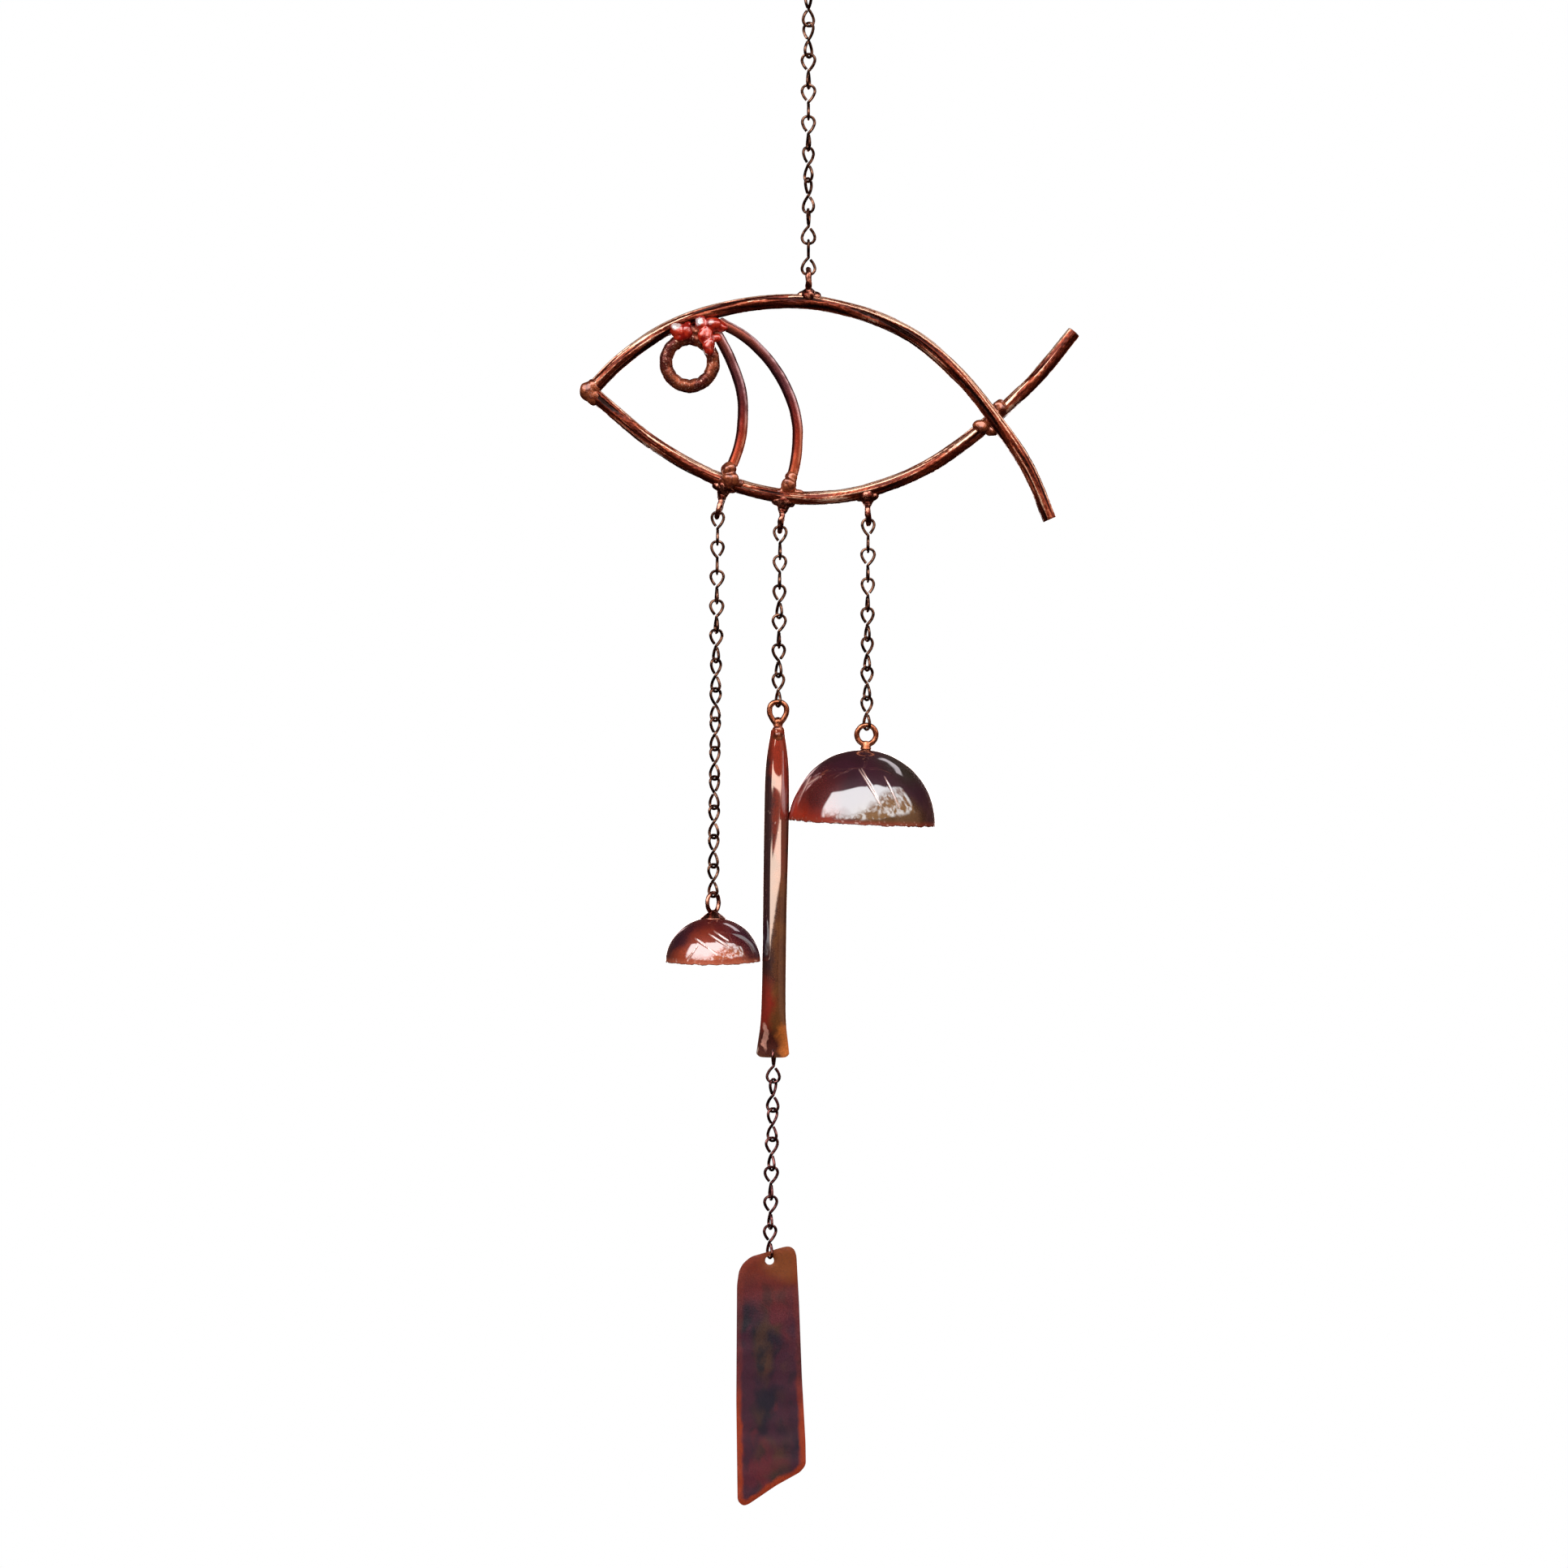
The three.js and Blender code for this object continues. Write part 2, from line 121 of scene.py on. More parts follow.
BELLY_ROD = [
    NOSE, (-106.5, -303), (-87.5, -318), (-50.9, -338.6), (-4.7, -349.4), (33.2, -345.2),
    (62.6, -334), (86, -319), (103, -305), (127.6, -281.6), (148.4, -256.5),
]

# The painted highlight line and the painted shade are placed in degrees round a gill, from its front towards
# the tail and towards the nose.
GILL = {"radius": 3.1, "steps": 180, "sides": 32, "line": 38, "line_spread": 13, "soot": (8, 48)}
FRONT_GILL = [
    (-54, -254), (-50.4, -259), (-43.3, -272.6), (-37.4, -290), (-36.6, -306.4), (-38.6, -320),
    (-44.3, -335.4),
]
REAR_GILL = [
    (-50, -251.2), (-34.3, -260.6), (-20.6, -274.6), (-11.5, -290), (-6.6, -306), (-6.6, -325),
    (-10.8, -343.8),
]
EYE = {"x": -66.2, "z": -273.9, "radius": 13.4, "wire": 3.8, "corners": 14, "steps": 140, "sides": 36}

HANGER = {
    "radius": 1.7, "half_height": 5.6, "half_depth": 4.6, "sunk": 1.2,
    # The braze, as (share of the way from the rod to the eye, radius) and (how far to a side, radius).
    "neck": [(0, 4.7), (0.35, 3.8), (0.7, 3.0), (1, 2.5)], "shoulders": [(-4.2, 3.0), (3.9, 2.8)],
}
HANGER_FEET = {
    "top": (0, -240),
    "left": (-46, -340.5),
    "middle": (-13.4, -348.5),
    "right": (32.6, -345.4),
}

LARGE_BELL = {
    "radius": 41.2, "height": 41, "wall": 1.3, "lean": 2.5, "segments": 512, "rows": 84,
    "loop": {"radius": 1.55, "half_height": 5.35, "half_width": 5.35, "turn": 0},
    "loop_foot": (3.2, 4.1), "loop_skirt": 0,
    # Chisel cuts on the front: from and to, each as (across from the axis, height above the rim).
    "cuts": [
        ((-4, 30), (8.3, 11.4)), ((-2.6, 30.4), (6.6, 15.6)), ((10.1, 26.4), (18.7, 10.5)),
        ((-30.3, 24.6), (-35.3, 13.7)), ((-25.8, 25), (-31.7, 20.5)),
    ],
}
SMALL_BELL = {
    "radius": 26.8, "height": 24.6, "wall": 1.2, "lean": 0, "segments": 400, "rows": 64,
    "loop": {"radius": 1.25, "half_height": 5.5, "half_width": 4.6, "turn": 48},
    "loop_foot": (5.8, 3.5), "loop_skirt": 0.32,
    "cuts": [
        ((1, 17.9), (9.1, 12.6)), ((-1.8, 16.5), (9.1, 9.6)), ((-9.3, 14), (2.8, 5.9)),
        ((-7.9, 10.5), (-13.6, 2.3)),
    ],
}
DOME_GAP = 0.3  # between a bell's dome and the foot of its loop
INNER_ROWS = 24
# A bell's rounded lip, as (distance from the wall's face, height above the rim).
LIP = {"outside": [(0, 0.35), (0.12, 0.08), (0.4, 0)], "inside": [(0.3, 0), (0.05, 0.1)]}
FOOT_BALLS = 10  # flat balls that make up the foot of a bell's loop
FOOT_STRETCH = (1, 1, 0.28)
CUT = {"half_width": 0.36, "depth": 0.4, "burr": 0.12}

STRIKER_LOOP = {"radius": 1.6, "spread": 6.3, "height": 13.4, "tail": 42}
STRIKER_END = (-19.9, -662)
# rubbed is how far below the bearing point the large bell has marked the tube.
STRIKER = {"wall": 1, "sides": 80, "stations": 200, "rubbed": 66}
# Half width and half depth of the tube at distances below its loop's bearing point.
STRIKER_FORM = [
    (14.2, 4.2, 8.2), (17, 4.4, 8.1), (23, 5.3, 7.8), (32, 6.3, 7.2), (44, 6.85, 6.85),
    (160, 6.85, 6.85), (178, 7.3, 5), (189, 8.4, 2), (197.3, 9.2, 1.4),
]
CHAIN_HOLE = {"radius": 2.7, "drop": 0.6, "reach": 8}

SAIL = {"thickness": 1, "hole": 2.4, "spacing": 2, "edge_points": 340, "hole_points": 28}
SAIL_OUTLINE = [
    (-40, -790), (-38.9, -782), (-36.5, -777.6), (-32, -773.9), (-23.5, -771.5), (-15.4, -768.9),
    (-10.8, -767.9), (-7.9, -769.4), (-6.6, -773.1), (-5.1, -800.9), (-3.5, -842.5), (-1.5, -878.4),
    (-1.3, -891.1), (-4.4, -895.2), (-17.7, -902.6), (-33.9, -913.7), (-36.8, -914.4),
    (-39.7, -911.4), (-40.4, -855.2),
]

# ---- camera and stage

CAMERA = {"x": -13.6, "z": -480, "distance": 1550, "aim_z": -508.9, "seen": 876.3}
SENSOR = 36
STAGE = {"floor_drop": 1500, "radius": 6000, "bend": 1500, "height": 8400, "sides": 64}
NEAR_AXIS = 0.001


# ---- curves and noise

def in_plane(point):
    """A point (x, z) of the fish's plane as (x, y, z)."""
    return np.array([point[0], 0, point[1]], float)


def smoothstep(values, low, high):
    """0 below low and 1 above high, with a smooth rise between them."""
    t = np.clip((values - low) / (high - low), 0, 1)
    return t * t * (3 - 2 * t)


def unit(vectors):
    return vectors / np.linalg.norm(vectors, axis=-1, keepdims=True)


def broadcast_points(x, y, z):
    """Points from coordinates whose shapes only have to be broadcast together."""
    return np.stack(np.broadcast_arrays(x, y, z), -1)


def around(count):
    """count even angles of a full turn."""
    return np.arange(count) * TURN / count


def distances(points, root=False):
    """How far along a polyline each of its points is. root adds up the roots of its steps instead."""
    steps = np.linalg.norm(np.diff(points, axis=0), axis=1)
    return np.concatenate([[0], np.cumsum(np.sqrt(steps) if root else steps)])


def spaced(points, count):
    """count points evenly spaced along a polyline."""
    points = np.asarray(points, float)
    along = distances(points)
    stations = np.linspace(0, along[-1], count)
    return np.stack([np.interp(stations, along, column) for column in points.T], axis=1)


def through(points, count):
    """count even points on the centripetal Catmull-Rom curve through points."""
    p = np.asarray(points, float)
    p = np.vstack([2 * p[0] - p[1], p, 2 * p[-1] - p[-2]])
    t = distances(p, root=True)
    fine = []
    for i in range(1, len(p) - 2):
        s = np.linspace(t[i], t[i + 1], CURVE_STEPS)[:, None]

        def mix(a, b, ta, tb):
            return ((tb - s) * a + (s - ta) * b) / (tb - ta)

        first = mix(p[i - 1], p[i], t[i - 1], t[i])
        second = mix(p[i], p[i + 1], t[i], t[i + 1])
        third = mix(p[i + 1], p[i + 2], t[i + 1], t[i + 2])
        before = mix(first, second, t[i - 1], t[i + 1])
        after = mix(second, third, t[i], t[i + 2])
        fine.append(mix(before, after, t[i], t[i + 1]))
    return spaced(np.vstack(fine), count)


def ripple(points, wavelength, seed):
    """Smooth noise, mostly from -1 to 1: a sum of plane waves of random heading."""
    rng = np.random.default_rng(seed)
    heading = unit(rng.normal(size=(WAVES, 3)))
    phase = rng.uniform(0, TURN, WAVES)
    stretch = rng.uniform(0.7, 1.4, WAVES)
    turns = points @ heading.T * stretch / wavelength
    return np.sin(turns * TURN + phase).sum(-1) * math.sqrt(1 / WAVES)


def teardrop(angle, spread, height):
    """A teardrop's outline, pointed at angle 0 and round at 180: distances across and along."""
    turn = np.radians(angle)
    return spread * np.sin(turn) * np.sin(turn / 2), height * (1 - np.cos(turn)) / 2


# ---- meshes as (vertices, faces)

def along_path(path, closed=False):
    """Tangent, normal and binormal at each point of a path, without twist."""
    if closed:
        tangent = unit(np.roll(path, -1, 0) - np.roll(path, 1, 0))
    else:
        tangent = unit(np.gradient(path, axis=0))
    side = np.array([0.0, 1.0, 0.0])
    if abs(tangent[0][1]) > 0.9:
        side = np.array([1.0, 0.0, 0.0])
    normals = []
    for t in tangent:
        side = side - t * (side @ t)
        side = side / np.linalg.norm(side)
        normals.append(side)
    normal = np.array(normals)
    return tangent, normal, np.cross(tangent, normal)


def grid_faces(rows, columns, closed_rows=False):
    """Quads of a grid whose columns close on themselves."""
    r = np.arange(rows if closed_rows else rows - 1)[:, None]
    c = np.arange(columns)[None, :]
    after = (r + 1) % rows
    beside = (c + 1) % columns
    near, far = r * columns, after * columns
    quads = np.stack([near + c, far + c, far + beside, near + beside], -1)
    return quads.reshape(-1, 4).tolist()


def tube(path, radius, sides, closed=False, bevel=0.25):
    """A tube along a path. radius is a number or an array (stations, sides or 1)."""
    count = len(path)
    tangent, normal, binormal = along_path(path, closed)
    angle = around(sides)[None, :, None]
    radii = np.broadcast_to(np.asarray(radius, float), (count, sides))
    ring = np.cos(angle) * normal[:, None, :] + np.sin(angle) * binormal[:, None, :]
    places = path[:, None, :] + ring * radii[..., None]
    if closed:
        return places.reshape(-1, 3), grid_faces(count, sides, True)
    # square-cut ends with a small bevel
    first = path[0] + (places[0] - path[0]) * (1 - bevel)
    last = path[-1] + (places[-1] - path[-1]) * (1 - bevel)
    places[0] += tangent[0] * bevel * radii[0][:, None]
    places[-1] -= tangent[-1] * bevel * radii[-1][:, None]
    places = np.concatenate([first[None], places, last[None]])
    faces = grid_faces(count + 2, sides)
    faces.append(list(range(sides)))
    faces.append([(count + 1) * sides + i for i in range(sides)][::-1])
    return places.reshape(-1, 3), faces


def ball(x, y, z, radius, stretch=(1, 1, 1)):
    """A closed ball, stretched along the axes."""
    lift = np.linspace(-math.pi / 2, math.pi / 2, BALL_ROWS)[1:-1, None]
    angle = around(BALL_COLUMNS)
    ring = broadcast_points(np.cos(lift) * np.cos(angle), np.cos(lift) * np.sin(angle), np.sin(lift))
    places = np.vstack([ring.reshape(-1, 3), [[0, 0, -1], [0, 0, 1]]]) * radius * np.array(stretch)
    faces = [face[::-1] for face in grid_faces(BALL_ROWS - 2, BALL_COLUMNS)]
    top = (BALL_ROWS - 3) * BALL_COLUMNS
    low = top + BALL_COLUMNS
    for i in range(BALL_COLUMNS):
        beside = (i + 1) % BALL_COLUMNS
        faces += [[low, beside, i], [low + 1, top + i, top + beside]]
    return places + [x, y, z], faces


def balls(entries):
    """Several balls as one mesh, each entry as ball() takes it."""
    return merged(*(ball(*entry) for entry in entries))


def with_ends(values):
    """A mask's rows along an open tube, with the first and last again for the tube's ends."""
    return np.vstack([values[:1], values, values[-1:]])


def merged(*meshes):
    """Several meshes as one."""
    places, faces, start = [], [], 0
    for some, more in meshes:
        places.append(some)
        faces += [[i + start for i in face] for face in more]
        start += len(some)
    return np.vstack(places), faces


def moved(mesh, matrix):
    """A mesh moved by a 4x4 matrix in millimetres."""
    places, faces = mesh
    m = np.array(matrix)
    return places @ m[:3, :3].T + m[:3, 3], faces


# ---- pieces

def new_object(name, mesh):
    places, faces = mesh
    data = bpy.data.meshes.new(name)
    data.from_pydata((np.asarray(places) * MM).tolist(), [], faces)
    data.update()
    piece = bpy.data.objects.new(name, data)
    bpy.context.scene.collection.objects.link(piece)
    return piece


def bake_modifiers(piece):
    """Applies a piece's modifiers to its mesh."""
    graph = bpy.context.evaluated_depsgraph_get()
    data = bpy.data.meshes.new_from_object(piece.evaluated_get(graph))
    old = piece.data
    piece.modifiers.clear()
    piece.data = data
    bpy.data.meshes.remove(old)


def add_masks(piece, masks):
    """Numbers at a piece's points that its material reads."""
    for mask, values in masks.items():
        layer = piece.data.attributes.new(mask, "FLOAT", "POINT")
        layer.data.foreach_set("value", np.asarray(values, np.float32).ravel())


def finish_piece(piece, kind, body, replaces=(), sharp=SHARP):
    """Shades a piece, paints it with the material kind and seats it on its body."""
    piece.data.shade_smooth()
    piece.data.set_sharp_from_angle(angle=math.radians(sharp))
    piece.data.materials.clear()
    piece.data.materials.append(MATERIALS[kind])
    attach(piece, body)
    if replaces:
        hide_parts(*replaces)


def make_piece(name, mesh, kind, body, slot, replaces=(), sharp=SHARP, **masks):
    """A piece from a mesh in millimetres."""
    piece = new_object(name, mesh)
    add_masks(piece, masks)
    finish_piece(piece, kind, body, replaces, sharp)


def fuse_piece(
    name, mesh, kind, body, replaces=(), voxel=0.32, smooth=5, lumpy=0.0, seed=1, grain=4.5,
    bearing=None,
):
    """A piece whose overlapping shapes are melted into one skin, as braze does.

    It is lumpy, but smooth and rubbed thin where another piece bears on it. lumpy is the height of the
    lumps and grain is their size.
    """
    piece = new_object(name, mesh)
    remesh = piece.modifiers.new("melt", "REMESH")
    remesh.mode = "VOXEL"
    remesh.voxel_size = voxel * MM
    soften = piece.modifiers.new("soften", "SMOOTH")
    soften.factor = SOFTEN
    soften.iterations = smooth
    bake_modifiers(piece)
    if lumpy:
        points = piece.data.vertices
        places, normals = np.empty((2, len(points), 3))
        points.foreach_get("co", places.ravel())
        points.foreach_get("normal", normals.ravel())
        height = lumpy * MM * ripple(places / MM, grain, seed)
        if bearing is not None:
            away = np.linalg.norm(places / MM - bearing, axis=1)
            clear = smoothstep(away, RUB["bare"], RUB["clear"])
            height = height * clear - (1 - clear) * RUB["braze_depth"] * MM
        places += normals * height[:, None]
        points.foreach_set("co", places.ravel())
        piece.data.update()
    finish_piece(piece, kind, body, replaces)


# ---- shader graphs

MATERIALS = {}
SOCKETS = {
    "metal": "Metallic", "coat": "Coat Weight", "coat_rough": "Coat Roughness", "coat_ior": "Coat IOR",
    "level": "Specular IOR Level",
}


class Graph:
    """Builds a node tree. An input may be a number, a colour or another node's output."""

    def __init__(self, tree):
        self.tree = tree
        tree.nodes.clear()

    def node(self, kind, inputs=(), **settings):
        node = self.tree.nodes.new(kind)
        for key, value in settings.items():
            setattr(node, key, value)
        for key, value in dict(inputs).items():
            self.feed(node.inputs[key], value)
        return node

    def feed(self, socket, value):
        if isinstance(value, bpy.types.NodeSocket):
            self.tree.links.new(value, socket)
        elif isinstance(value, (tuple, list)) and socket.type == "RGBA":
            socket.default_value = (*value[:3], 1)
        else:
            socket.default_value = value

    def math(self, operation, *values, clamp=False):
        node = self.node("ShaderNodeMath", operation=operation, use_clamp=clamp)
        for socket, value in zip(node.inputs, values):
            self.feed(socket, value)
        return node.outputs[0]

    def add(self, first, second):
        return self.math("ADD", first, second)

    def minus(self, first, second):
        return self.math("SUBTRACT", first, second)

    def times(self, first, *others):
        for other in others:
            first = self.math("MULTIPLY", first, other)
        return first

    def vector(self, operation, *values):
        node = self.node("ShaderNodeVectorMath", operation=operation)
        for socket, value in zip(node.inputs, values):
            self.feed(socket, value)
        return node.outputs["Value" if operation in ("DISTANCE", "LENGTH") else "Vector"]

    def step(self, value, low, high, out_low=0.0, out_high=1.0):
        """A smooth step from out_low to out_high as value goes from low to high."""
        node = self.node("ShaderNodeMapRange", interpolation_type="SMOOTHSTEP")
        for key, number in zip(
            ("Value", "From Min", "From Max", "To Min", "To Max"), (value, low, high, out_low, out_high)
        ):
            self.feed(node.inputs[key], number)
        return node.outputs["Result"]

    def mix(self, factor, first, second, blend="MIX"):
        node = self.node("ShaderNodeMix", data_type="RGBA", blend_type=blend)
        # the sockets of a colour mix: its factor, A, B and result
        for socket, value in ((0, factor), (6, first), (7, second)):
            self.feed(node.inputs[socket], value)
        return node.outputs[2]

    def finish(self, kind, inputs, output):
        """The last node, and the output that shows it."""
        last = self.node(kind, inputs)
        self.tree.links.new(last.outputs[0], self.node(output).inputs["Surface"])

    def ramp(self, value, *stops):
        """A colour ramp. stops are (place, colour)."""
        node = self.node("ShaderNodeValToRGB", {"Fac": value})
        elements = node.color_ramp.elements
        while len(elements) < len(stops):
            elements.new(0.5)
        for element, (place, colour) in zip(elements, stops):
            element.position = place
            element.color = (*colour, 1)
        return node.outputs["Color"]

    def place(self):
        """The point on the surface, in millimetres of the frame."""
        spot = self.node("ShaderNodeTexCoord").outputs["Object"]
        return self.vector("MULTIPLY", spot, (1 / MM, 1 / MM, 1 / MM))

    def noise(self, place, size, detail=3.0, rough=0.55, distort=0.0, stretch=(1, 1, 1)):
        """Noise from 0 to 1 with features of about size millimetres."""
        scale = tuple(s / size for s in stretch)
        settings = {"Scale": 1.0, "Detail": detail, "Roughness": rough, "Distortion": distort}
        scaled = self.vector("MULTIPLY", place, scale)
        return self.node("ShaderNodeTexNoise", {"Vector": scaled, **settings}).outputs["Fac"]

    def blotch(self, place, size, detail, low, high, *outs):
        """Noise as patches: 0 (or outs[0]) below low, and 1 (or outs[1]) above high."""
        return self.step(self.noise(place, size, detail), low, high, *outs)

    def mask(self, name):
        return self.node("ShaderNodeAttribute", attribute_name=name).outputs["Fac"]

    def wobble(self, place, size, reach):
        """The place pushed about by noise, so that what follows it has a ragged edge."""
        scaled = self.vector("MULTIPLY", place, (1 / size,) * 3)
        node = self.node("ShaderNodeTexNoise", {"Vector": scaled, "Scale": 1.0, "Detail": 3.0})
        centred = self.vector("SUBTRACT", node.outputs["Color"], (0.5,) * 3)
        push = self.vector("MULTIPLY", centred, (2 * reach,) * 3)
        return self.vector("ADD", place, push)

    def spot(self, place, centre, radius, soft, squeeze=(1, 1, 1)):
        """1 near centre, fading to 0 at about radius. squeeze above 1 narrows an axis."""
        away = self.vector("MULTIPLY", self.vector("SUBTRACT", place, centre), squeeze)
        return self.step(self.vector("LENGTH", away), radius - soft, radius + soft, 1.0, 0.0)


def new_material(name):
    """The node graph of a new material, which is kept under its name."""
    material = bpy.data.materials.new(name)
    material.use_nodes = True
    MATERIALS[name] = material
    return Graph(material.node_tree)


def shade(g, colour, rough, bump, bump_size, **settings):
    """The shader of a metal. settings are its other sockets, and only metal may vary over the surface."""
    dents = g.node("ShaderNodeBump", {"Height": bump, "Distance": bump_size * MM, "Strength": 1.0})
    inputs = {"Base Color": colour, "Roughness": rough, "Normal": dents.outputs["Normal"]}
    inputs |= {SOCKETS[key]: value for key, value in settings.items()}
    g.finish("ShaderNodeBsdfPrincipled", inputs, "ShaderNodeOutputMaterial")


# ---- materials

def rod_material():
    """Polished copper rod, dark where the hammer left grooves, with cream painted highlight lines along it.
    """
    g = new_material("rod_copper")
    place = g.place()
    fine = g.noise(place, 1.3, 4)
    tone = g.add(g.mask("worn"), g.times(g.minus(fine, 0.5), 0.4))
    metal = g.ramp(
        tone, (0.10, (0.016, 0.004, 0.003)), (0.40, (0.11, 0.016, 0.007)), (0.60, (0.27, 0.046, 0.019)),
        (0.76, (0.47, 0.125, 0.060)), (0.92, (0.84, 0.50, 0.34)),
    )
    stain = g.blotch(place, 24, 3, 0.44, 0.66, 0.0, 0.5)
    colour = g.mix(stain, metal, (0.10, 0.015, 0.010))
    # the highest ridges and the painted highlight lines turn cream
    ridge_and_highlight = g.step(tone, 0.82, 1.0)
    colour = g.mix(ridge_and_highlight, colour, (0.88, 0.56, 0.40))
    rough = g.step(fine, 0.3, 0.7, 0.16, 0.30)
    skin = g.noise(place, 0.8, 3)
    shade(g, colour, rough, skin, 0.03, metal=0.6, level=0.1, coat=0.1, coat_rough=0.1, coat_ior=1.6)


def eye_material():
    """Dark copper with small bright specks."""
    g = new_material("eye_copper")
    place = g.place()
    specks = g.step(g.noise(place, 1.1, 5, 0.7), 0.55, 0.66)
    broad = g.blotch(place, 8, 2, 0.4, 0.65)
    base = g.mix(broad, (0.10, 0.014, 0.010), (0.30, 0.072, 0.030))
    colour = g.mix(g.times(specks, 0.7), base, (0.78, 0.48, 0.36))
    rough = g.step(specks, 0, 1, 0.26, 0.14)
    shade(g, colour, rough, g.noise(place, 1.2, 4), 0.10, metal=0.55, level=0.25)


def gill_material():
    """Smooth rod, flame-coloured: copper at the head, mauve below it, orange-red at the foot, with a painted
    highlight line and painted shade.
    """
    g = new_material("gill_copper")
    place = g.place()
    height = g.node("ShaderNodeSeparateXYZ", {0: g.wobble(place, 12, 6)}).outputs["Z"]
    share = g.math("DIVIDE", g.minus(height, GILL_COLOURS["foot"]), GILL_COLOURS["rise"], clamp=True)
    colour = g.ramp(share, *GILL_COLOURS["stops"])
    fine = g.noise(place, 1.4, 3)
    # a painted highlight line, broken into patches, orange-red low down and lilac-pink higher up, and less
    # metallic where it shows
    line = g.times(g.mask("line"), g.blotch(place, 9, 2, 0.34, 0.56, 0.25, 1.0))
    pale = g.mix(g.step(share, 0.30, 0.55), (0.90, 0.34, 0.20), (0.80, 0.50, 0.52))
    colour = g.mix(line, colour, pale)
    # painted shade down the side towards the nose
    colour = g.mix(g.times(g.mask("soot"), 0.9), colour, (0.022, 0.006, 0.008))
    rough = g.step(fine, 0.3, 0.7, 0.18, 0.28)
    shade(g, colour, rough, fine, 0.03, metal=g.step(line, 0, 1, 0.6, 0.2), level=0.25)


def braze_material(name, dark, light, metal, coat_ior, highlight_spots=()):
    """A lump of braze: a glossy skin over mottled red copper.

    Its pale spots are painted highlights, each given as (centre, radius, colour).
    """
    g = new_material(name)
    place = g.place()
    blotch = g.step(g.noise(place, 4.5, 2, 0.5, 0.6), 0.40, 0.60)
    colour = g.mix(blotch, dark, light)
    ragged = g.wobble(place, 4, 2)
    # pale painted highlights
    for centre, radius, tint in highlight_spots:
        colour = g.mix(g.spot(ragged, centre, radius, 0.5), colour, tint)
    lumps = g.noise(place, 3.2, 1)
    shade(g, colour, 0.3, lumps, 0.10, metal=metal, coat=1.0, coat_rough=0.04, coat_ior=coat_ior)


def wire_material(name, dark, light):
    """Wire, lighter and darker in blotches."""
    g = new_material(name)
    place = g.place()
    blotch = g.blotch(place, 3.0, 3, 0.40, 0.66)
    fine = g.noise(place, 0.5, 3)
    shade(g, g.mix(blotch, dark, light), g.step(fine, 0.3, 0.7, 0.2, 0.34), fine, 0.03, metal=1.0)


def lacquer(name, base, mottle, zones, rim=(0.40, 0.05, 0.02), metal=0.25):
    """Flame-coloured copper under clear lacquer. zones are (centre, radius, soft, squeeze, colour)."""
    g = new_material(name)
    place = g.place()
    ragged = g.wobble(place, 9, 5)
    colour = g.mix(g.blotch(place, 16, 3, 0.35, 0.65), base, mottle)
    for centre, radius, soft, squeeze, tint in zones:
        colour = g.mix(g.spot(ragged, centre, radius, soft, squeeze), colour, tint)
    grain = g.step(g.noise(place, 0.8, 4, 0.7), 0.35, 0.7, 0.8, 1.25)
    grey = g.node("ShaderNodeCombineColor", {0: grain, 1: grain, 2: grain}).outputs[0]
    colour = g.mix(1.0, colour, grey, "MULTIPLY")
    colour = g.mix(g.times(g.mask("rim"), 0.75), colour, rim)
    colour = g.mix(g.mask("worn"), colour, BARE_COPPER)
    waves = g.noise(place, 22, 0)
    shade(g, colour, 0.45, waves, 0.12, metal=metal, coat=1.0, coat_rough=0.03, coat_ior=2.6)


def sail_material():
    """Flame-patinated sheet: red-orange at its edges, and plum, navy, olive and magenta clouds inside."""
    g = new_material("sail_patina")
    place = g.place()
    soft = g.wobble(place, 16, 7)
    split = g.node("ShaderNodeSeparateXYZ", {0: soft})
    x, z = split.outputs["X"], split.outputs["Z"]

    def cloud(size, offset, low, high, most):
        spread = g.vector("ADD", soft, offset)
        return g.step(g.noise(spread, size, 2, stretch=(1.3, 1, 0.75)), low, high, 0.0, most)

    colour = g.mix(cloud(20, (0, 0, 0), 0.34, 0.56, 1.0), (0.014, 0.012, 0.028), (0.066, 0.017, 0.038))
    inside = g.minus(1.0, g.step(g.math("ABSOLUTE", g.add(x, 21.0)), 3, 13))
    olive = g.times(cloud(24, (50, 0, 9), 0.42, 0.64, 1.0), inside)
    colour = g.mix(olive, colour, (0.085, 0.040, 0.026))
    colour = g.mix(cloud(19, (0, 30, 70), 0.48, 0.70, 0.9), colour, (0.15, 0.020, 0.034))
    colour = g.mix(cloud(13, (90, 0, 40), 0.54, 0.74, 0.9), colour, (0.012, 0.015, 0.026))
    colour = g.mix(g.step(z, -808, -776), colour, (0.20, 0.026, 0.010))
    colour = g.mix(g.spot(soft, (-11, 0, -776), 12, 6), colour, (0.26, 0.065, 0.013))
    ragged = g.add(g.mask("border"), cloud(10, (7, 0, 0), 0.3, 0.7, 0.3))
    edge = g.times(g.step(ragged, 0.5, 1.0), g.step(z, -862, -838, 1.0, 0.2))
    colour = g.mix(edge, colour, (0.40, 0.050, 0.014))
    grain = g.noise(place, 0.9, 3)
    colour = g.mix(g.step(grain, 0.4, 0.8, 0.0, 0.3), colour, (0.02, 0.012, 0.02))
    shade(g, colour, 0.45, grain, 0.06, metal=0.3, coat=0.3, coat_rough=0.35)


BARE_COPPER = (0.85, 0.55, 0.48)
# A gill rod's colours from its foot up: (share of the rise, colour).
GILL_COLOURS = {
    "foot": -345.0, "rise": 90.0,
    "stops": [
        (0.0, (0.58, 0.17, 0.085)), (0.16, (0.56, 0.10, 0.040)), (0.32, (0.44, 0.045, 0.020)),
        (0.48, (0.20, 0.026, 0.024)), (0.66, (0.12, 0.032, 0.042)), (0.84, (0.13, 0.030, 0.028)),
        (1.0, (0.26, 0.06, 0.036)),
    ],
}
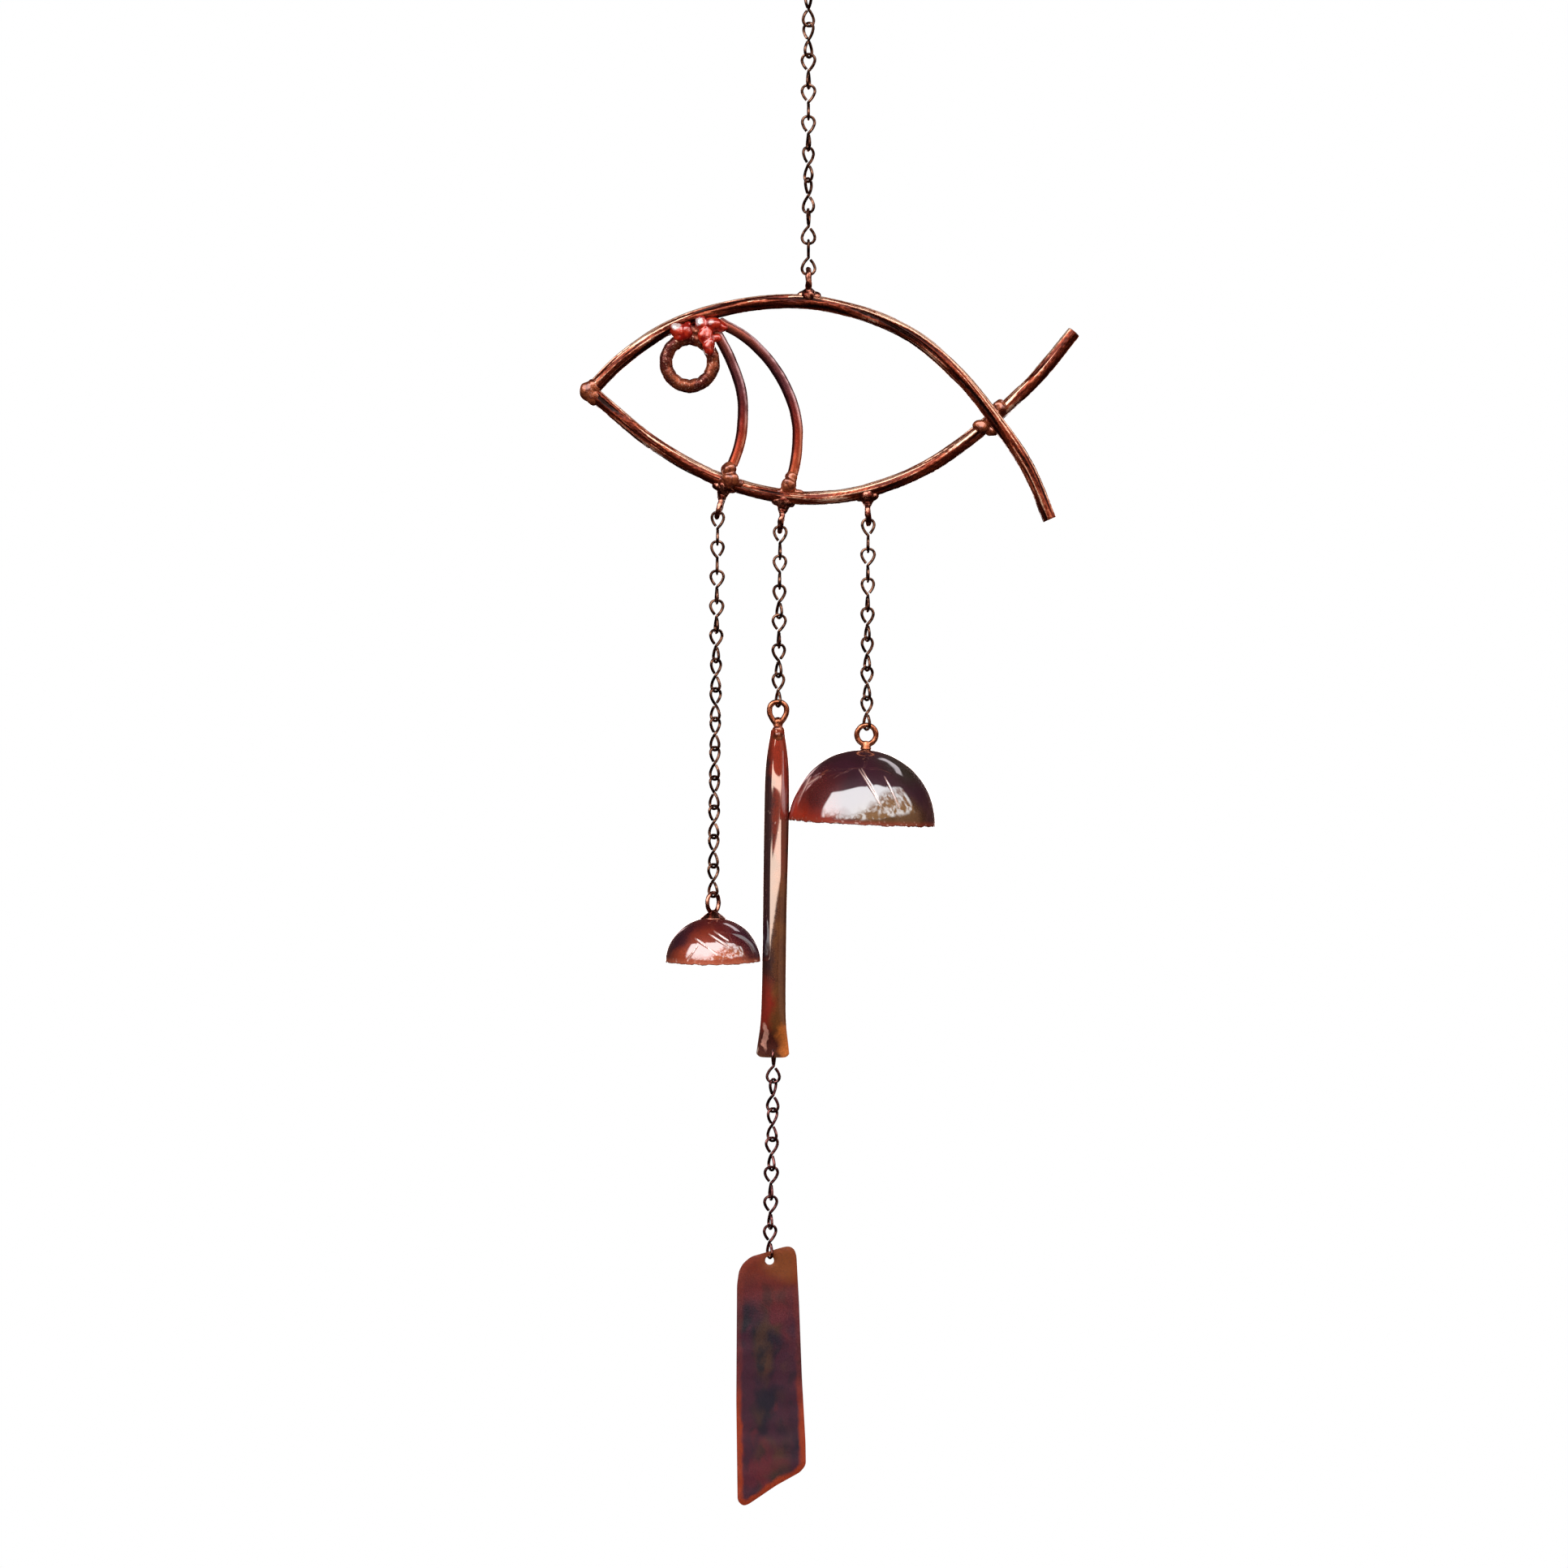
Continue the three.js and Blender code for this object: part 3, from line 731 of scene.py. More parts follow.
# The dark and the light colour of each wire.
WIRES = {
    "hanger_copper": ((0.12, 0.022, 0.014), (0.74, 0.33, 0.23)),
    "hook_bronze": ((0.14, 0.05, 0.03), (0.38, 0.18, 0.11)),
    "chain_bronze": ((0.040, 0.014, 0.009), (0.31, 0.15, 0.095)),
    "lower_bronze": ((0.045, 0.011, 0.013), (0.28, 0.11, 0.10)),
    "loop_copper": ((0.32, 0.095, 0.045), (0.66, 0.26, 0.14)),
}
# Painted highlights on the red braze, pale spots on the front of its lumps, up and to the left: (centre,
# radius, colour).
RED_BRAZE_HIGHLIGHTS = [
    ((-73.8, -6, -253.8), 2.7, (0.88, 0.74, 0.72)), ((-60.9, -6, -251.6), 2.5, (0.84, 0.72, 0.72)),
    ((-54.5, -7, -251.8), 2.0, (0.86, 0.42, 0.40)),
]
LARGE_BELL_ZONES = [
    ((-3, -20, -533), 21, 12, (1, 1, 1), (0.66, 0.034, 0.004)),
    ((4, -26, -512), 13, 9, (1, 1, 1), (0.12, 0.008, 0.008)),
    ((70, -5, -512), 24, 10, (1, 1, 1), (0.040, 0.006, 0.022)),
    ((46, -36, -529), 17, 8, (0.8, 1, 1.3), (0.13, 0.060, 0.012)),
    ((10, 30, -515), 24, 14, (1, 1, 1), (0.20, 0.02, 0.008)),
    ((50, -14, -500), 13, 8, (1, 1, 1), (0.026, 0.020, 0.010)),
]
SMALL_BELL_ZONES = [
    ((-77, -10, -594), 14, 8, (1, 1, 1), (0.040, 0.004, 0.015)),
    ((-30, -8, -594), 12, 7, (1, 1, 1), (0.060, 0.006, 0.024)),
    ((-56, -24, -608), 17, 6, (0.7, 1, 1.6), (0.46, 0.060, 0.016)),
    ((-58, -20, -598), 9, 6, (1, 1, 1), (0.34, 0.04, 0.012)),
]
STRIKER_ZONES = [
    ((-17, -7, -495), 36, 12, (1, 1, 1), (0.50, 0.040, 0.012)),
    ((-14, -7, -535), 26, 12, (1, 1, 1), (0.30, 0.032, 0.013)),
    # darker down the tube's left half and along its right edge
    ((-30, 0, -560), 60, 12, (5, 2, 0.6), (0.030, 0.007, 0.014)),
    ((-5.2, 0, -560), 60, 12, (9, 2, 0.6), (0.040, 0.013, 0.008)),
    ((-26, -4, -632), 11, 5, (1.6, 1, 0.7), (0.40, 0.022, 0.007)),
    ((-13.4, -3, -652), 6, 1.2, (1.05, 0.6, 0.62), (0.92, 0.27, 0.05)),
    ((-22, -3, -655), 8, 4, (1, 0.6, 1), (0.10, 0.016, 0.010)),
    # a painted highlight: a pink-cream streak down the left of the flattened end
    ((-24.2, -4, -650), 6, 1.5, (4.2, 0.6, 0.8), (0.92, 0.46, 0.36)),
]

rod_material()
eye_material()
gill_material()
braze_material("red_braze", (0.40, 0.008, 0.004), (0.76, 0.045, 0.016), 0.25, 1.9, RED_BRAZE_HIGHLIGHTS)
braze_material("brown_braze", (0.17, 0.028, 0.011), (0.48, 0.125, 0.048), 0.5, 1.6)
for wire_name, (wire_dark, wire_light) in WIRES.items():
    wire_material(wire_name, wire_dark, wire_light)
lacquer("large_bell_lacquer", (0.040, 0.007, 0.016), (0.055, 0.008, 0.022), LARGE_BELL_ZONES)
lacquer(
    "small_bell_lacquer", (0.13, 0.009, 0.008), (0.17, 0.012, 0.010), SMALL_BELL_ZONES,
    rim=(0.72, 0.18, 0.09),
)
lacquer("striker_lacquer", (0.27, 0.098, 0.022), (0.17, 0.055, 0.018), STRIKER_ZONES, metal=0.5)
sail_material()


# ---- chains and hook

BEARINGS = {joint["child"]: np.array(joint["pos_m"]) / MM for joint in frame["joints"]}


def seat(bearing, below, turn=0.0):
    """The matrix of a part that hangs at bearing towards the point below, turned about its length."""
    run = Vector(below) - Vector(bearing)
    hang = Vector((0, 0, -1)).rotation_difference(run).to_matrix().to_4x4()
    return Matrix.Translation(Vector(bearing)) @ hang @ Matrix.Rotation(math.radians(turn), 4, "Z")


def rubbed(radius, from_crown):
    """A wire's radius at distances from its crown, where it is rubbed thin."""
    worn_off = RUB["depth"] * (1 - smoothstep(from_crown, RUB["crown"], RUB["reach"]))
    return (radius - worn_off)[:, None]


def link_mesh(pitch, seed):
    """One bent-wire link about its waist: the upper loop in XZ and the lower loop in YZ."""
    rng = np.random.default_rng(seed)
    height = (pitch + 2 * LINK["radius"] + PLAY) / 2
    angles = np.linspace(LINK["cut"], 360 - LINK["cut"], LINK["strides"] + 1)
    across, along = teardrop(angles, LINK["spread"], height)
    across = across * rng.uniform(*LINK["uneven"])
    upper = broadcast_points(-across, 0.0, along)
    lower = broadcast_points(0.0, across, -along)
    path = through(np.vstack([upper, [[0, 0, 0]], lower]), LINK["steps"])
    from_crown = height - np.abs(path[:, 2])
    return tube(path, rubbed(LINK["radius"], from_crown), LINK["sides"], bevel=0.2)


def make_chains():
    seed = 0
    for chain, turns in LINK_TURNS.items():
        links = [f"{chain}_chain_link_{i + 1:02d}" for i in range(len(turns))]
        bearings = [BEARINGS[link] for link in links] + [BEARINGS[CHAIN_HOLDS[chain]]]
        pitch = np.linalg.norm(bearings[-1] - bearings[0]) / len(turns)
        kind = "lower_bronze" if chain == "lower" else "chain_bronze"
        for link, turn, start, end in zip(links, turns, bearings, bearings[1:]):
            seed += 1
            matrix = seat((start + end) / 2, end, turn)
            mesh = moved(link_mesh(pitch, seed), matrix)
            make_piece(f"{link}_wire", mesh, kind, link, "chain_bronze", [link])


def make_hook():
    lowest = BEARINGS["top_chain_link_01"][2] - PLAY / 2 - HOOK["radius"]
    angles = np.radians(np.linspace(-HOOK["tip"], 180 + HOOK["tip"], HOOK["strides"]))
    arcs = []
    for radius, middle, way in (
        (HOOK["upper"], HOOK["radius"] - HOOK["upper"], 1), (HOOK["lower"], lowest + HOOK["lower"], -1),
    ):
        arcs.append(broadcast_points(radius * np.cos(angles), 0.0, middle + way * radius * np.sin(angles)))
    path = through(np.vstack(arcs), HOOK["steps"])
    mesh = tube(path, rubbed(HOOK["radius"], path[:, 2] - lowest), HOOK["sides"], bevel=0.35)
    make_piece("hanging_hook_wire", mesh, "hook_bronze", "hook", "hook_bronze", ["hanging_hook"])


# ---- the fish

def rod_path(outline, side, count):
    """A rod's centreline: it leaves the fish's plane smoothly before the tail's crossing."""
    points = []
    for x, z in outline:
        parting = float(smoothstep(np.array(x), OFFSET_FROM_X, OFFSET_TO_X))
        points.append((x, side * ROD_OFFSET * parting, z))
    return through(points, count)


def streak(along, angle, middle, reach, centre, width, power):
    """1 along the middle of a long narrow mark on a rod's skin, fading to 0 at its ends and sides."""
    off = (angle - centre + math.pi) % TURN - math.pi
    window = np.clip(1 - ((along - middle) / reach) ** 2, 0, 1) ** power
    return window * np.exp(-((off / width) ** 2))


def hammered(path, sides, seed):
    """A rod's skin (stations, sides): heights of its grooves, ridges and flats, and how worn it is, with
    painted highlight lines added.
    """
    rng = np.random.default_rng(seed)
    along = distances(path)[:, None]
    angle = around(sides)[None, :]
    height = np.zeros((len(path), sides))
    for _ in range(GROOVES["count"]):
        middle = rng.uniform(0, along[-1, 0])
        reach = rng.uniform(*GROOVES["reach"])
        width = rng.uniform(*GROOVES["width"])
        depth = rng.uniform(*GROOVES["depth"]) * rng.choice(GROOVES["ways"])
        lean = rng.normal(0, GROOVES["lean"])
        centre = rng.uniform(0, TURN) + lean * (along - middle)
        height -= depth * streak(along, angle, middle, reach, centre, width, 0.8)
    skin = broadcast_points(ROD_RADIUS * np.cos(angle), ROD_RADIUS * np.sin(angle), along * 0.16)
    height += 0.16 * ripple(skin, 4.2, seed + 1)
    height += 0.05 * ripple(skin * [1, 1, 3], 1.5, seed + 2)
    worn = 0.50 + height * 1.3
    for number in range(LINES["count"]):
        middle = rng.uniform(0, along[-1, 0])
        reach = rng.uniform(*LINES["reach"])
        # three lines of four are on the upper front, where the sky's highlight falls, so that their painted
        # highlight sits there (angle 0 faces the back and a quarter turn faces up)
        centre = rng.normal(*LINES["front"]) if number % 4 else rng.uniform(0, TURN)
        centre = centre + rng.normal(0, LINES["lean"]) * (along - middle)
        line = streak(along, angle, middle, reach, centre, rng.uniform(*LINES["width"]), 0.5)
        height += LINES["height"] * line
        # each line also adds a painted highlight to the mask
        worn += LINES["shine"] * line
    return height, np.clip(worn, 0, 1)


def make_rod(name, outline, side, seed):
    path = rod_path(outline, side, ROD["steps"])
    height, worn = hammered(path, ROD["sides"], seed)
    mesh = tube(path, ROD["skin"] + np.clip(height, *ROD["relief"]), ROD["sides"], bevel=0.08)
    make_piece(
        f"{name}_hammered", mesh, "rod_copper", "fish_frame", "rod_copper", [name], 60, worn=with_ends(worn)
    )


def make_eye():
    angle = around(EYE["steps"])
    corner = TURN / EYE["corners"]
    facet = np.cos(corner / 2) / np.cos((angle + 0.2) % corner - corner / 2)
    radius = EYE["radius"] * (0.1 + 0.9 * facet)
    path = broadcast_points(EYE["x"] + radius * np.cos(angle), 0.0, EYE["z"] + radius * np.sin(angle))
    turned = EYE["wire"] * np.cos(around(EYE["sides"]))[None]
    skin = broadcast_points(path[:, None, 0], turned, path[:, None, 2])
    thick = EYE["wire"] * 0.97 + 0.13 * ripple(skin, 5, 31) + 0.05 * ripple(skin, 1.8, 32)
    mesh = tube(path, thick, EYE["sides"], closed=True)
    make_piece("eye_ring_wire", mesh, "eye_copper", "fish_frame", "eye_copper", ["eye_ring"])


def make_gill(name, outline, seed):
    steps, sides = GILL["steps"], GILL["sides"]
    path = through([in_plane(point) for point in outline], steps)
    angle = around(sides)[None, :]
    skin = path[:, None, :] + broadcast_points(0.0, np.cos(angle), np.sin(angle)) * GILL["radius"]
    mesh = tube(path, GILL["radius"] * 0.98 + 0.06 * ripple(skin, 9, seed), sides)
    # a painted highlight line on its front and towards the tail, and painted shade on the other side
    facing = unit(mesh[0][sides:-sides].reshape(steps, sides, 3) - path[:, None])
    turned = np.degrees(np.arctan2(facing[..., 0], -facing[..., 1]))
    line = np.exp(-(((turned - GILL["line"]) / GILL["line_spread"]) ** 2))
    soot = smoothstep(-turned, *GILL["soot"])
    make_piece(
        f"{name}_rod", mesh, "gill_copper", "fish_frame", "gill_copper", [name],
        line=with_ends(line), soot=with_ends(soot),
    )


def hanger_mesh(bearing, foot):
    """An eye across the fish's plane, and the braze that it stands in."""
    out = unit(bearing - foot)
    reach = HANGER["half_height"] - HANGER["radius"] - PLAY / 2
    centre = bearing - out * reach
    angle = around(64)
    ring = centre + np.outer(np.cos(angle) * HANGER["half_height"], out)
    ring[:, 1] += np.sin(angle) * HANGER["half_depth"]
    root = foot + out * (ROD_RADIUS - HANGER["sunk"])
    neck = centre - out * HANGER["half_height"]
    side = np.array([-out[2], 0, out[0]])
    braze = [(*(root + (neck - root) * share), radius) for share, radius in HANGER["neck"]]
    braze += [(*(root + side * shift), radius) for shift, radius in HANGER["shoulders"]]
    return merged(tube(ring, HANGER["radius"], 16, closed=True), balls(braze))


def make_hangers():
    for seed, (name, foot) in enumerate(HANGER_FEET.items()):
        bearing = BEARINGS["fish_frame" if name == "top" else f"{name}_chain_link_01"]
        node = f"{name}_hanger_eye"
        fuse_piece(
            f"{node}_brazed", hanger_mesh(bearing, in_plane(foot)), "hanger_copper", "fish_frame",
            [node], lumpy=0.2, seed=seed, bearing=bearing,
        )


# Braze lumps on the fish: (name, material, balls), each ball (x, y, z, radius, stretch).
LUMPS = [
    ("eye_braze", "red_braze", [
        (-72.8, -2.6, -256.2, 4.2, (1.1, 0.9, 0.95)), (-68.2, -3.2, -257.8, 4.0, (1, 0.9, 1.1)),
        (-71.4, -2.2, -260.6, 2.8, (1.2, 1, 0.9)), (-67, -1.4, -253.6, 2.6, (1, 1, 1)),
    ]),
    ("gill_braze", "red_braze", [
        (-59.8, -3.2, -252.8, 3.5, (0.9, 1, 1.2)), (-52.9, -3.2, -253.2, 4.4, (1.15, 0.95, 0.95)),
        (-57.2, -3.4, -259.6, 4.6, (0.95, 0.9, 1.15)), (-55.4, -3.8, -265.4, 4.3, (0.85, 0.9, 1.25)),
        (-48.6, -2, -254.6, 3.6, (1.2, 1, 0.8)), (-60.6, -1.5, -249.6, 3, (1.2, 1, 0.8)),
        (-51.4, -2.4, -260.8, 2.6, (1.2, 1, 0.9)),
    ]),
    ("eye_fillet", "eye_copper", [
        (-66, 0.4, -255.2, 3.6, (1.5, 0.9, 0.9)), (-62, 0.4, -257.4, 3.4, (1.2, 0.9, 1)),
    ]),
    ("front_gill_braze", "brown_braze", [
        (-44.2, -2.6, -333.4, 4.6, (1, 1, 0.95)), (-43.2, -3.8, -339.6, 4.7, (1, 0.9, 1.05)),
        (-48.4, -1.6, -339.6, 2.8, (1.4, 1, 0.9)), (-39.4, -1.8, -341.6, 2.8, (1.4, 1, 0.9)),
    ]),
    ("rear_gill_braze", "brown_braze", [
        (-10.9, -2, -342.2, 4.4, (1.1, 1, 0.95)), (-9.8, -1, -338.4, 3.7, (1, 1, 1.15)),
        (-15.8, -0.8, -346, 2.6, (1.5, 1, 0.8)), (-6, -0.8, -346.4, 2.6, (1.5, 1, 0.8)),
    ]),
    ("nose_braze", "brown_braze", [
        (-122.7, 0, -290, 4.9, (1, 0.95, 1.15)), (-119.6, 0, -287.4, 4.4, (1, 0.98, 1)),
        (-119.6, 0, -293.4, 4.4, (1, 0.98, 1)),
    ]),
    ("tail_braze", "brown_braze", [
        (97.4, 1.2, -309.2, 4.5, (1.3, 1, 0.9)), (102.4, 1, -311.6, 3.4, (1.2, 1, 1)),
        (107, 1.6, -299.2, 4.2, (1, 1, 1.2)), (103, 0, -304.6, 4.2, (1, 1, 1)),
    ]),
]


def make_lumps():
    for seed, (name, kind, entries) in enumerate(LUMPS):
        fuse_piece(
            name, balls(entries), kind, "fish_frame",
            voxel=0.36, smooth=18, lumpy=0.34, grain=6.5, seed=seed,
        )


def make_fish():
    make_rod("back_rod", BACK_ROD, -1, 11)
    make_rod("belly_rod", BELLY_ROD, 1, 12)
    make_eye()
    make_gill("front_gill", FRONT_GILL, 13)
    make_gill("rear_gill", REAR_GILL, 14)
    make_hangers()
    make_lumps()


# ---- bells

def cut_heights(x, y, z, cuts):
    """Heights that chisel cuts give a bell's skin, and how bare the copper is there."""
    height = np.zeros_like(x)
    bare = np.zeros_like(x)
    for start, end in cuts:
        a, b = np.array(start, float), np.array(end, float)
        run = b - a
        share = ((x - a[0]) * run[0] + (z - a[1]) * run[1]) / (run @ run)
        inside = np.clip(share, 0, 1)
        off = np.hypot(x - a[0] - inside * run[0], z - a[1] - inside * run[1]) / CUT["half_width"]
        taper = 0.4 + 0.6 * np.sin(inside * math.pi) ** 0.5
        groove = np.clip(1 - off**2, 0, 1)
        burr = np.exp(-(((off - 1.5) / 0.45) ** 2))
        front = y < 0
        height += front * taper * (CUT["burr"] * burr - CUT["depth"] * groove)
        bare = np.maximum(bare, front * np.clip(1.25 - off, 0, 1) * taper)
    return height, bare


def bell_mesh(bell, seed):
    """A bell's shell about its rim's middle, with its masks."""
    segments, wall, rim_radius = bell["segments"], bell["wall"], bell["radius"]
    outer = np.linspace(math.pi / 2, 0, bell["rows"])[1:-1]
    inner = np.linspace(0, math.pi / 2, INNER_ROWS)[1:-1]
    profile = [(rim_radius * math.cos(a), bell["height"] * math.sin(a), 1) for a in outer]
    profile += [(rim_radius - inset, lift, 1) for inset, lift in LIP["outside"]]
    profile += [(rim_radius - wall + inset, lift, 0) for inset, lift in LIP["inside"]]
    profile += [((rim_radius - wall) * math.cos(a), (bell["height"] - wall) * math.sin(a), 0) for a in inner]
    radius, lift, outside = np.array(profile).T[:, :, None]
    angle = around(segments)
    places = broadcast_points(radius * np.cos(angle), radius * np.sin(angle), lift)
    x, y, lift = np.moveaxis(places, -1, 0)
    height, bare = cut_heights(x, y, lift, bell["cuts"])
    height = height * outside + 0.22 * ripple(places, 34, seed) + 0.025 * ripple(places, 9, seed + 1)
    skin = places + unit(places) * height[..., None]
    # the rim is a little ragged and nicked
    level = broadcast_points(x, y, 0.0)
    ragged = 0.28 * ripple(level, 7, seed + 2) + 0.16 * ripple(level, 2.2, seed + 3)
    skin[..., 2] += (1 - smoothstep(lift, 0.2, 3.5)) * ragged
    nicks = smoothstep(ripple(broadcast_points(x, y, lift * 2), 2.4, seed + 4), 0.9, 1.5)
    worn = np.maximum(bare, nicks * (1 - smoothstep(lift, 0.6, 3.2)) * outside)
    rim = 1 - smoothstep(lift, 0.6, 3.4)
    faces = grid_faces(len(profile), segments)
    count = len(profile) * segments
    for i in range(segments):
        beside = (i + 1) % segments
        faces.append([count, i, beside])
        faces.append([count + 1, count - segments + beside, count - segments + i])
    tops = [[0, 0, bell["height"]], [0, 0, bell["height"] - wall]]
    masks = {"worn": np.append(worn, [0, 0]), "rim": np.append(rim, [0, 0])}
    return (np.vstack([skin.reshape(-1, 3), tops]), faces), masks


def bell_loop(bell):
    """A bell's loop and foot about the point where the chain bears, and the dome's top below it."""
    loop = bell["loop"]
    radius, half_height = loop["radius"], loop["half_height"]
    crown = PLAY / 2 + radius
    angle = around(64)
    path = broadcast_points(
        loop["half_width"] * np.sin(angle), 0.0, crown - half_height * (1 - np.cos(angle))
    )
    turn = Matrix.Rotation(math.radians(loop["turn"]), 4, "Z")
    ring = moved(tube(path, radius, 20, closed=True), turn)
    foot_radius, foot_height = bell["loop_foot"]
    bottom = crown - 2 * half_height + radius - foot_height
    foot = [
        (0, 0, bottom + foot_height * share, foot_radius + (radius - foot_radius) * share, FOOT_STRETCH)
        for share in np.linspace(-bell["loop_skirt"], 1, FOOT_BALLS)
    ]
    return merged(ring, balls(foot)), bottom - DOME_GAP


def make_bell(name, bell, seed, loop_kind):
    bearing = BEARINGS[name]
    matrix = Matrix.Translation(Vector(bearing)) @ Matrix.Rotation(math.radians(bell["lean"]), 4, "Y")
    ring, top = bell_loop(bell)
    shell, masks = bell_mesh(bell, seed)
    shell = moved(shell, matrix @ Matrix.Translation((0, 0, top - bell["height"])))
    lacquered = f"{name}_lacquer"
    make_piece(f"{name}_shell", shell, lacquered, name, lacquered, [f"{name}_dome"], 50, **masks)
    fuse_piece(
        f"{name}_ring", moved(ring, matrix), loop_kind, name, [f"{name}_loop"], voxel=0.28,
        smooth=3, lumpy=0.06, seed=seed, bearing=bearing,
    )


# ---- striker

STRIKER_SEAT = seat(BEARINGS["striker"], in_plane(STRIKER_END))


def striker_form(down):
    """Half width and half depth of the tube at distances below the bearing point, smoothed."""
    line = through(STRIKER_FORM, 400).T
    return np.interp(down, line[0], line[1]), np.interp(down, line[0], line[2])


def striker_mesh():
    """The tube open at both ends: pinched on its loop above, beaten flat below."""
    sides, stations = STRIKER["sides"], STRIKER["stations"]
    top, bottom = STRIKER_FORM[0][0], STRIKER_FORM[-1][0]
    down = top + (bottom - top) * (np.arange(stations) / (stations - 1))
    width, depth = (half[:, None] for half in striker_form(down))
    down = down[:, None]
    angle = around(sides)
    # the lower corners are rounded off
    corner = np.abs(np.cos(angle)) ** 8
    lifted = 2.2 * corner * smoothstep(down, bottom - 14, bottom)
    skins = []
    for inset in (0, STRIKER["wall"]):
        places = broadcast_points((width - inset) * np.cos(angle), (depth - inset) * np.sin(angle), -down)
        dents = 0.10 * ripple(places * [1, 1, 0.16], 11, 41) * smoothstep(depth, 1.2, 3)
        places[..., :2] += unit(places[..., :2]) * dents[..., None]
        places[..., 2] += lifted
        skins.append(places)
    outside, inside = skins
    rings = np.concatenate([outside, inside[::-1]])
    faces = [face[::-1] for face in grid_faces(len(rings), sides, True)]
    worn = np.zeros(rings.shape[:2])
    specks = smoothstep(ripple(outside, 1.7, 43), 1.3, 1.8)
    worn[:stations] = specks * np.exp(-(((down - STRIKER["rubbed"]) / 7) ** 2))
    return (rings.reshape(-1, 3), faces), worn


def drill(piece, place, radius, reach):
    """Cuts a hole through a piece along Y."""
    path = np.array([place + [0, -reach, 0], place, place + [0, reach, 0]])
    tool = new_object("drill", tube(path, radius, 32, bevel=0.01))
    cut = piece.modifiers.new("hole", "BOOLEAN")
    cut.operation = "DIFFERENCE"
    cut.solver = "EXACT"
    cut.object = tool
    bake_modifiers(piece)
    bpy.data.objects.remove(tool)


def make_striker():
    mesh, worn = striker_mesh()
    piece = new_object("striker_tube_shell", moved(mesh, STRIKER_SEAT))
    add_masks(piece, {"worn": worn})
    hole = BEARINGS["lower_chain_link_01"] + [0, 0, CHAIN_HOLE["radius"] - CHAIN_HOLE["drop"]]
    drill(piece, hole, CHAIN_HOLE["radius"], CHAIN_HOLE["reach"])
    finish_piece(piece, "striker_lacquer", "striker", ["striker_tube"], 45)

    loop = STRIKER_LOOP
    waist = PLAY / 2 + loop["radius"] - loop["height"]
    angles = np.linspace(loop["tail"], 360 - loop["tail"], 11)
    across, along = teardrop(angles, loop["spread"], loop["height"])
    wire = tube(through(broadcast_points(across, 0.0, waist + along), 90), loop["radius"], 20)
    tails = [(0, 0, waist + 2 - down, 3.0, (0.95, 1, 1)) for down in np.linspace(0, 9, 7)]
    fuse_piece(
        "striker_loop_wire", moved(merged(wire, balls(tails)), STRIKER_SEAT), "loop_copper", "striker",
        ["striker_loop"], voxel=0.28, smooth=3, lumpy=0.05, seed=5,
        bearing=BEARINGS["striker"],
    )
    bead = balls([
        (0.1, -4.4, waist - 5.6, 3.5, (0.95, 1.3, 1.25)), (0.2, -2.5, waist - 2.6, 3.4, (1.1, 1.3, 1)),
    ])
    fuse_piece(
        "striker_braze", moved(bead, STRIKER_SEAT), "brown_braze", "striker",
        voxel=0.28, lumpy=0.12, seed=6,
    )


# ---- sail

def winding(points, loop):
    """Which points are inside a closed loop."""
    a = loop[None] - points[:, None]
    b = np.roll(loop, -1, 0)[None] - points[:, None]
    cross = a[..., 0] * b[..., 1] - a[..., 1] * b[..., 0]
    return np.abs(np.arctan2(cross, (a * b).sum(-1)).sum(1)) > math.pi


def nearest(points, loop):
    """Each point's distance to the nearest point of a loop."""
    return np.linalg.norm(points[:, None] - loop[None], axis=-1).min(1)


def flat_sail(edge, hole):
    """The sail's points and triangles in its plane, from its edge and its hole."""
    spacing = SAIL["spacing"]
    low, high = edge.min(0), edge.max(0)
    xs = np.arange(low[0], high[0], spacing)
    zs = np.arange(low[1], high[1], spacing)
    inside = np.array([(x, z) for row, z in enumerate(zs) for x in xs + (row % 2) * spacing / 2])
    keep = winding(inside, edge) & ~winding(inside, hole)
    keep &= (nearest(inside, edge) > 0.9) & (nearest(inside, hole) > 1.0)
    flat = np.vstack([edge, hole, inside[keep]])
    loops = []
    for start, count in ((0, len(edge)), (len(edge), len(hole))):
        loops += [(start + i, start + (i + 1) % count) for i in range(count)]
    made = delaunay_2d_cdt([Vector(p) for p in flat], loops, [], 0, 1e-6)
    flat = np.array([tuple(p) for p in made[0]])
    triangles = np.array(made[2])
    middles = flat[triangles].mean(1)
    triangles = triangles[winding(middles, edge) & ~winding(middles, hole)]
    corners = flat[triangles]
    ab, ac = corners[:, 1] - corners[:, 0], corners[:, 2] - corners[:, 0]
    backwards = ab[:, 0] * ac[:, 1] - ab[:, 1] * ac[:, 0] < 0
    triangles[backwards] = triangles[backwards][:, ::-1]
    return flat, triangles


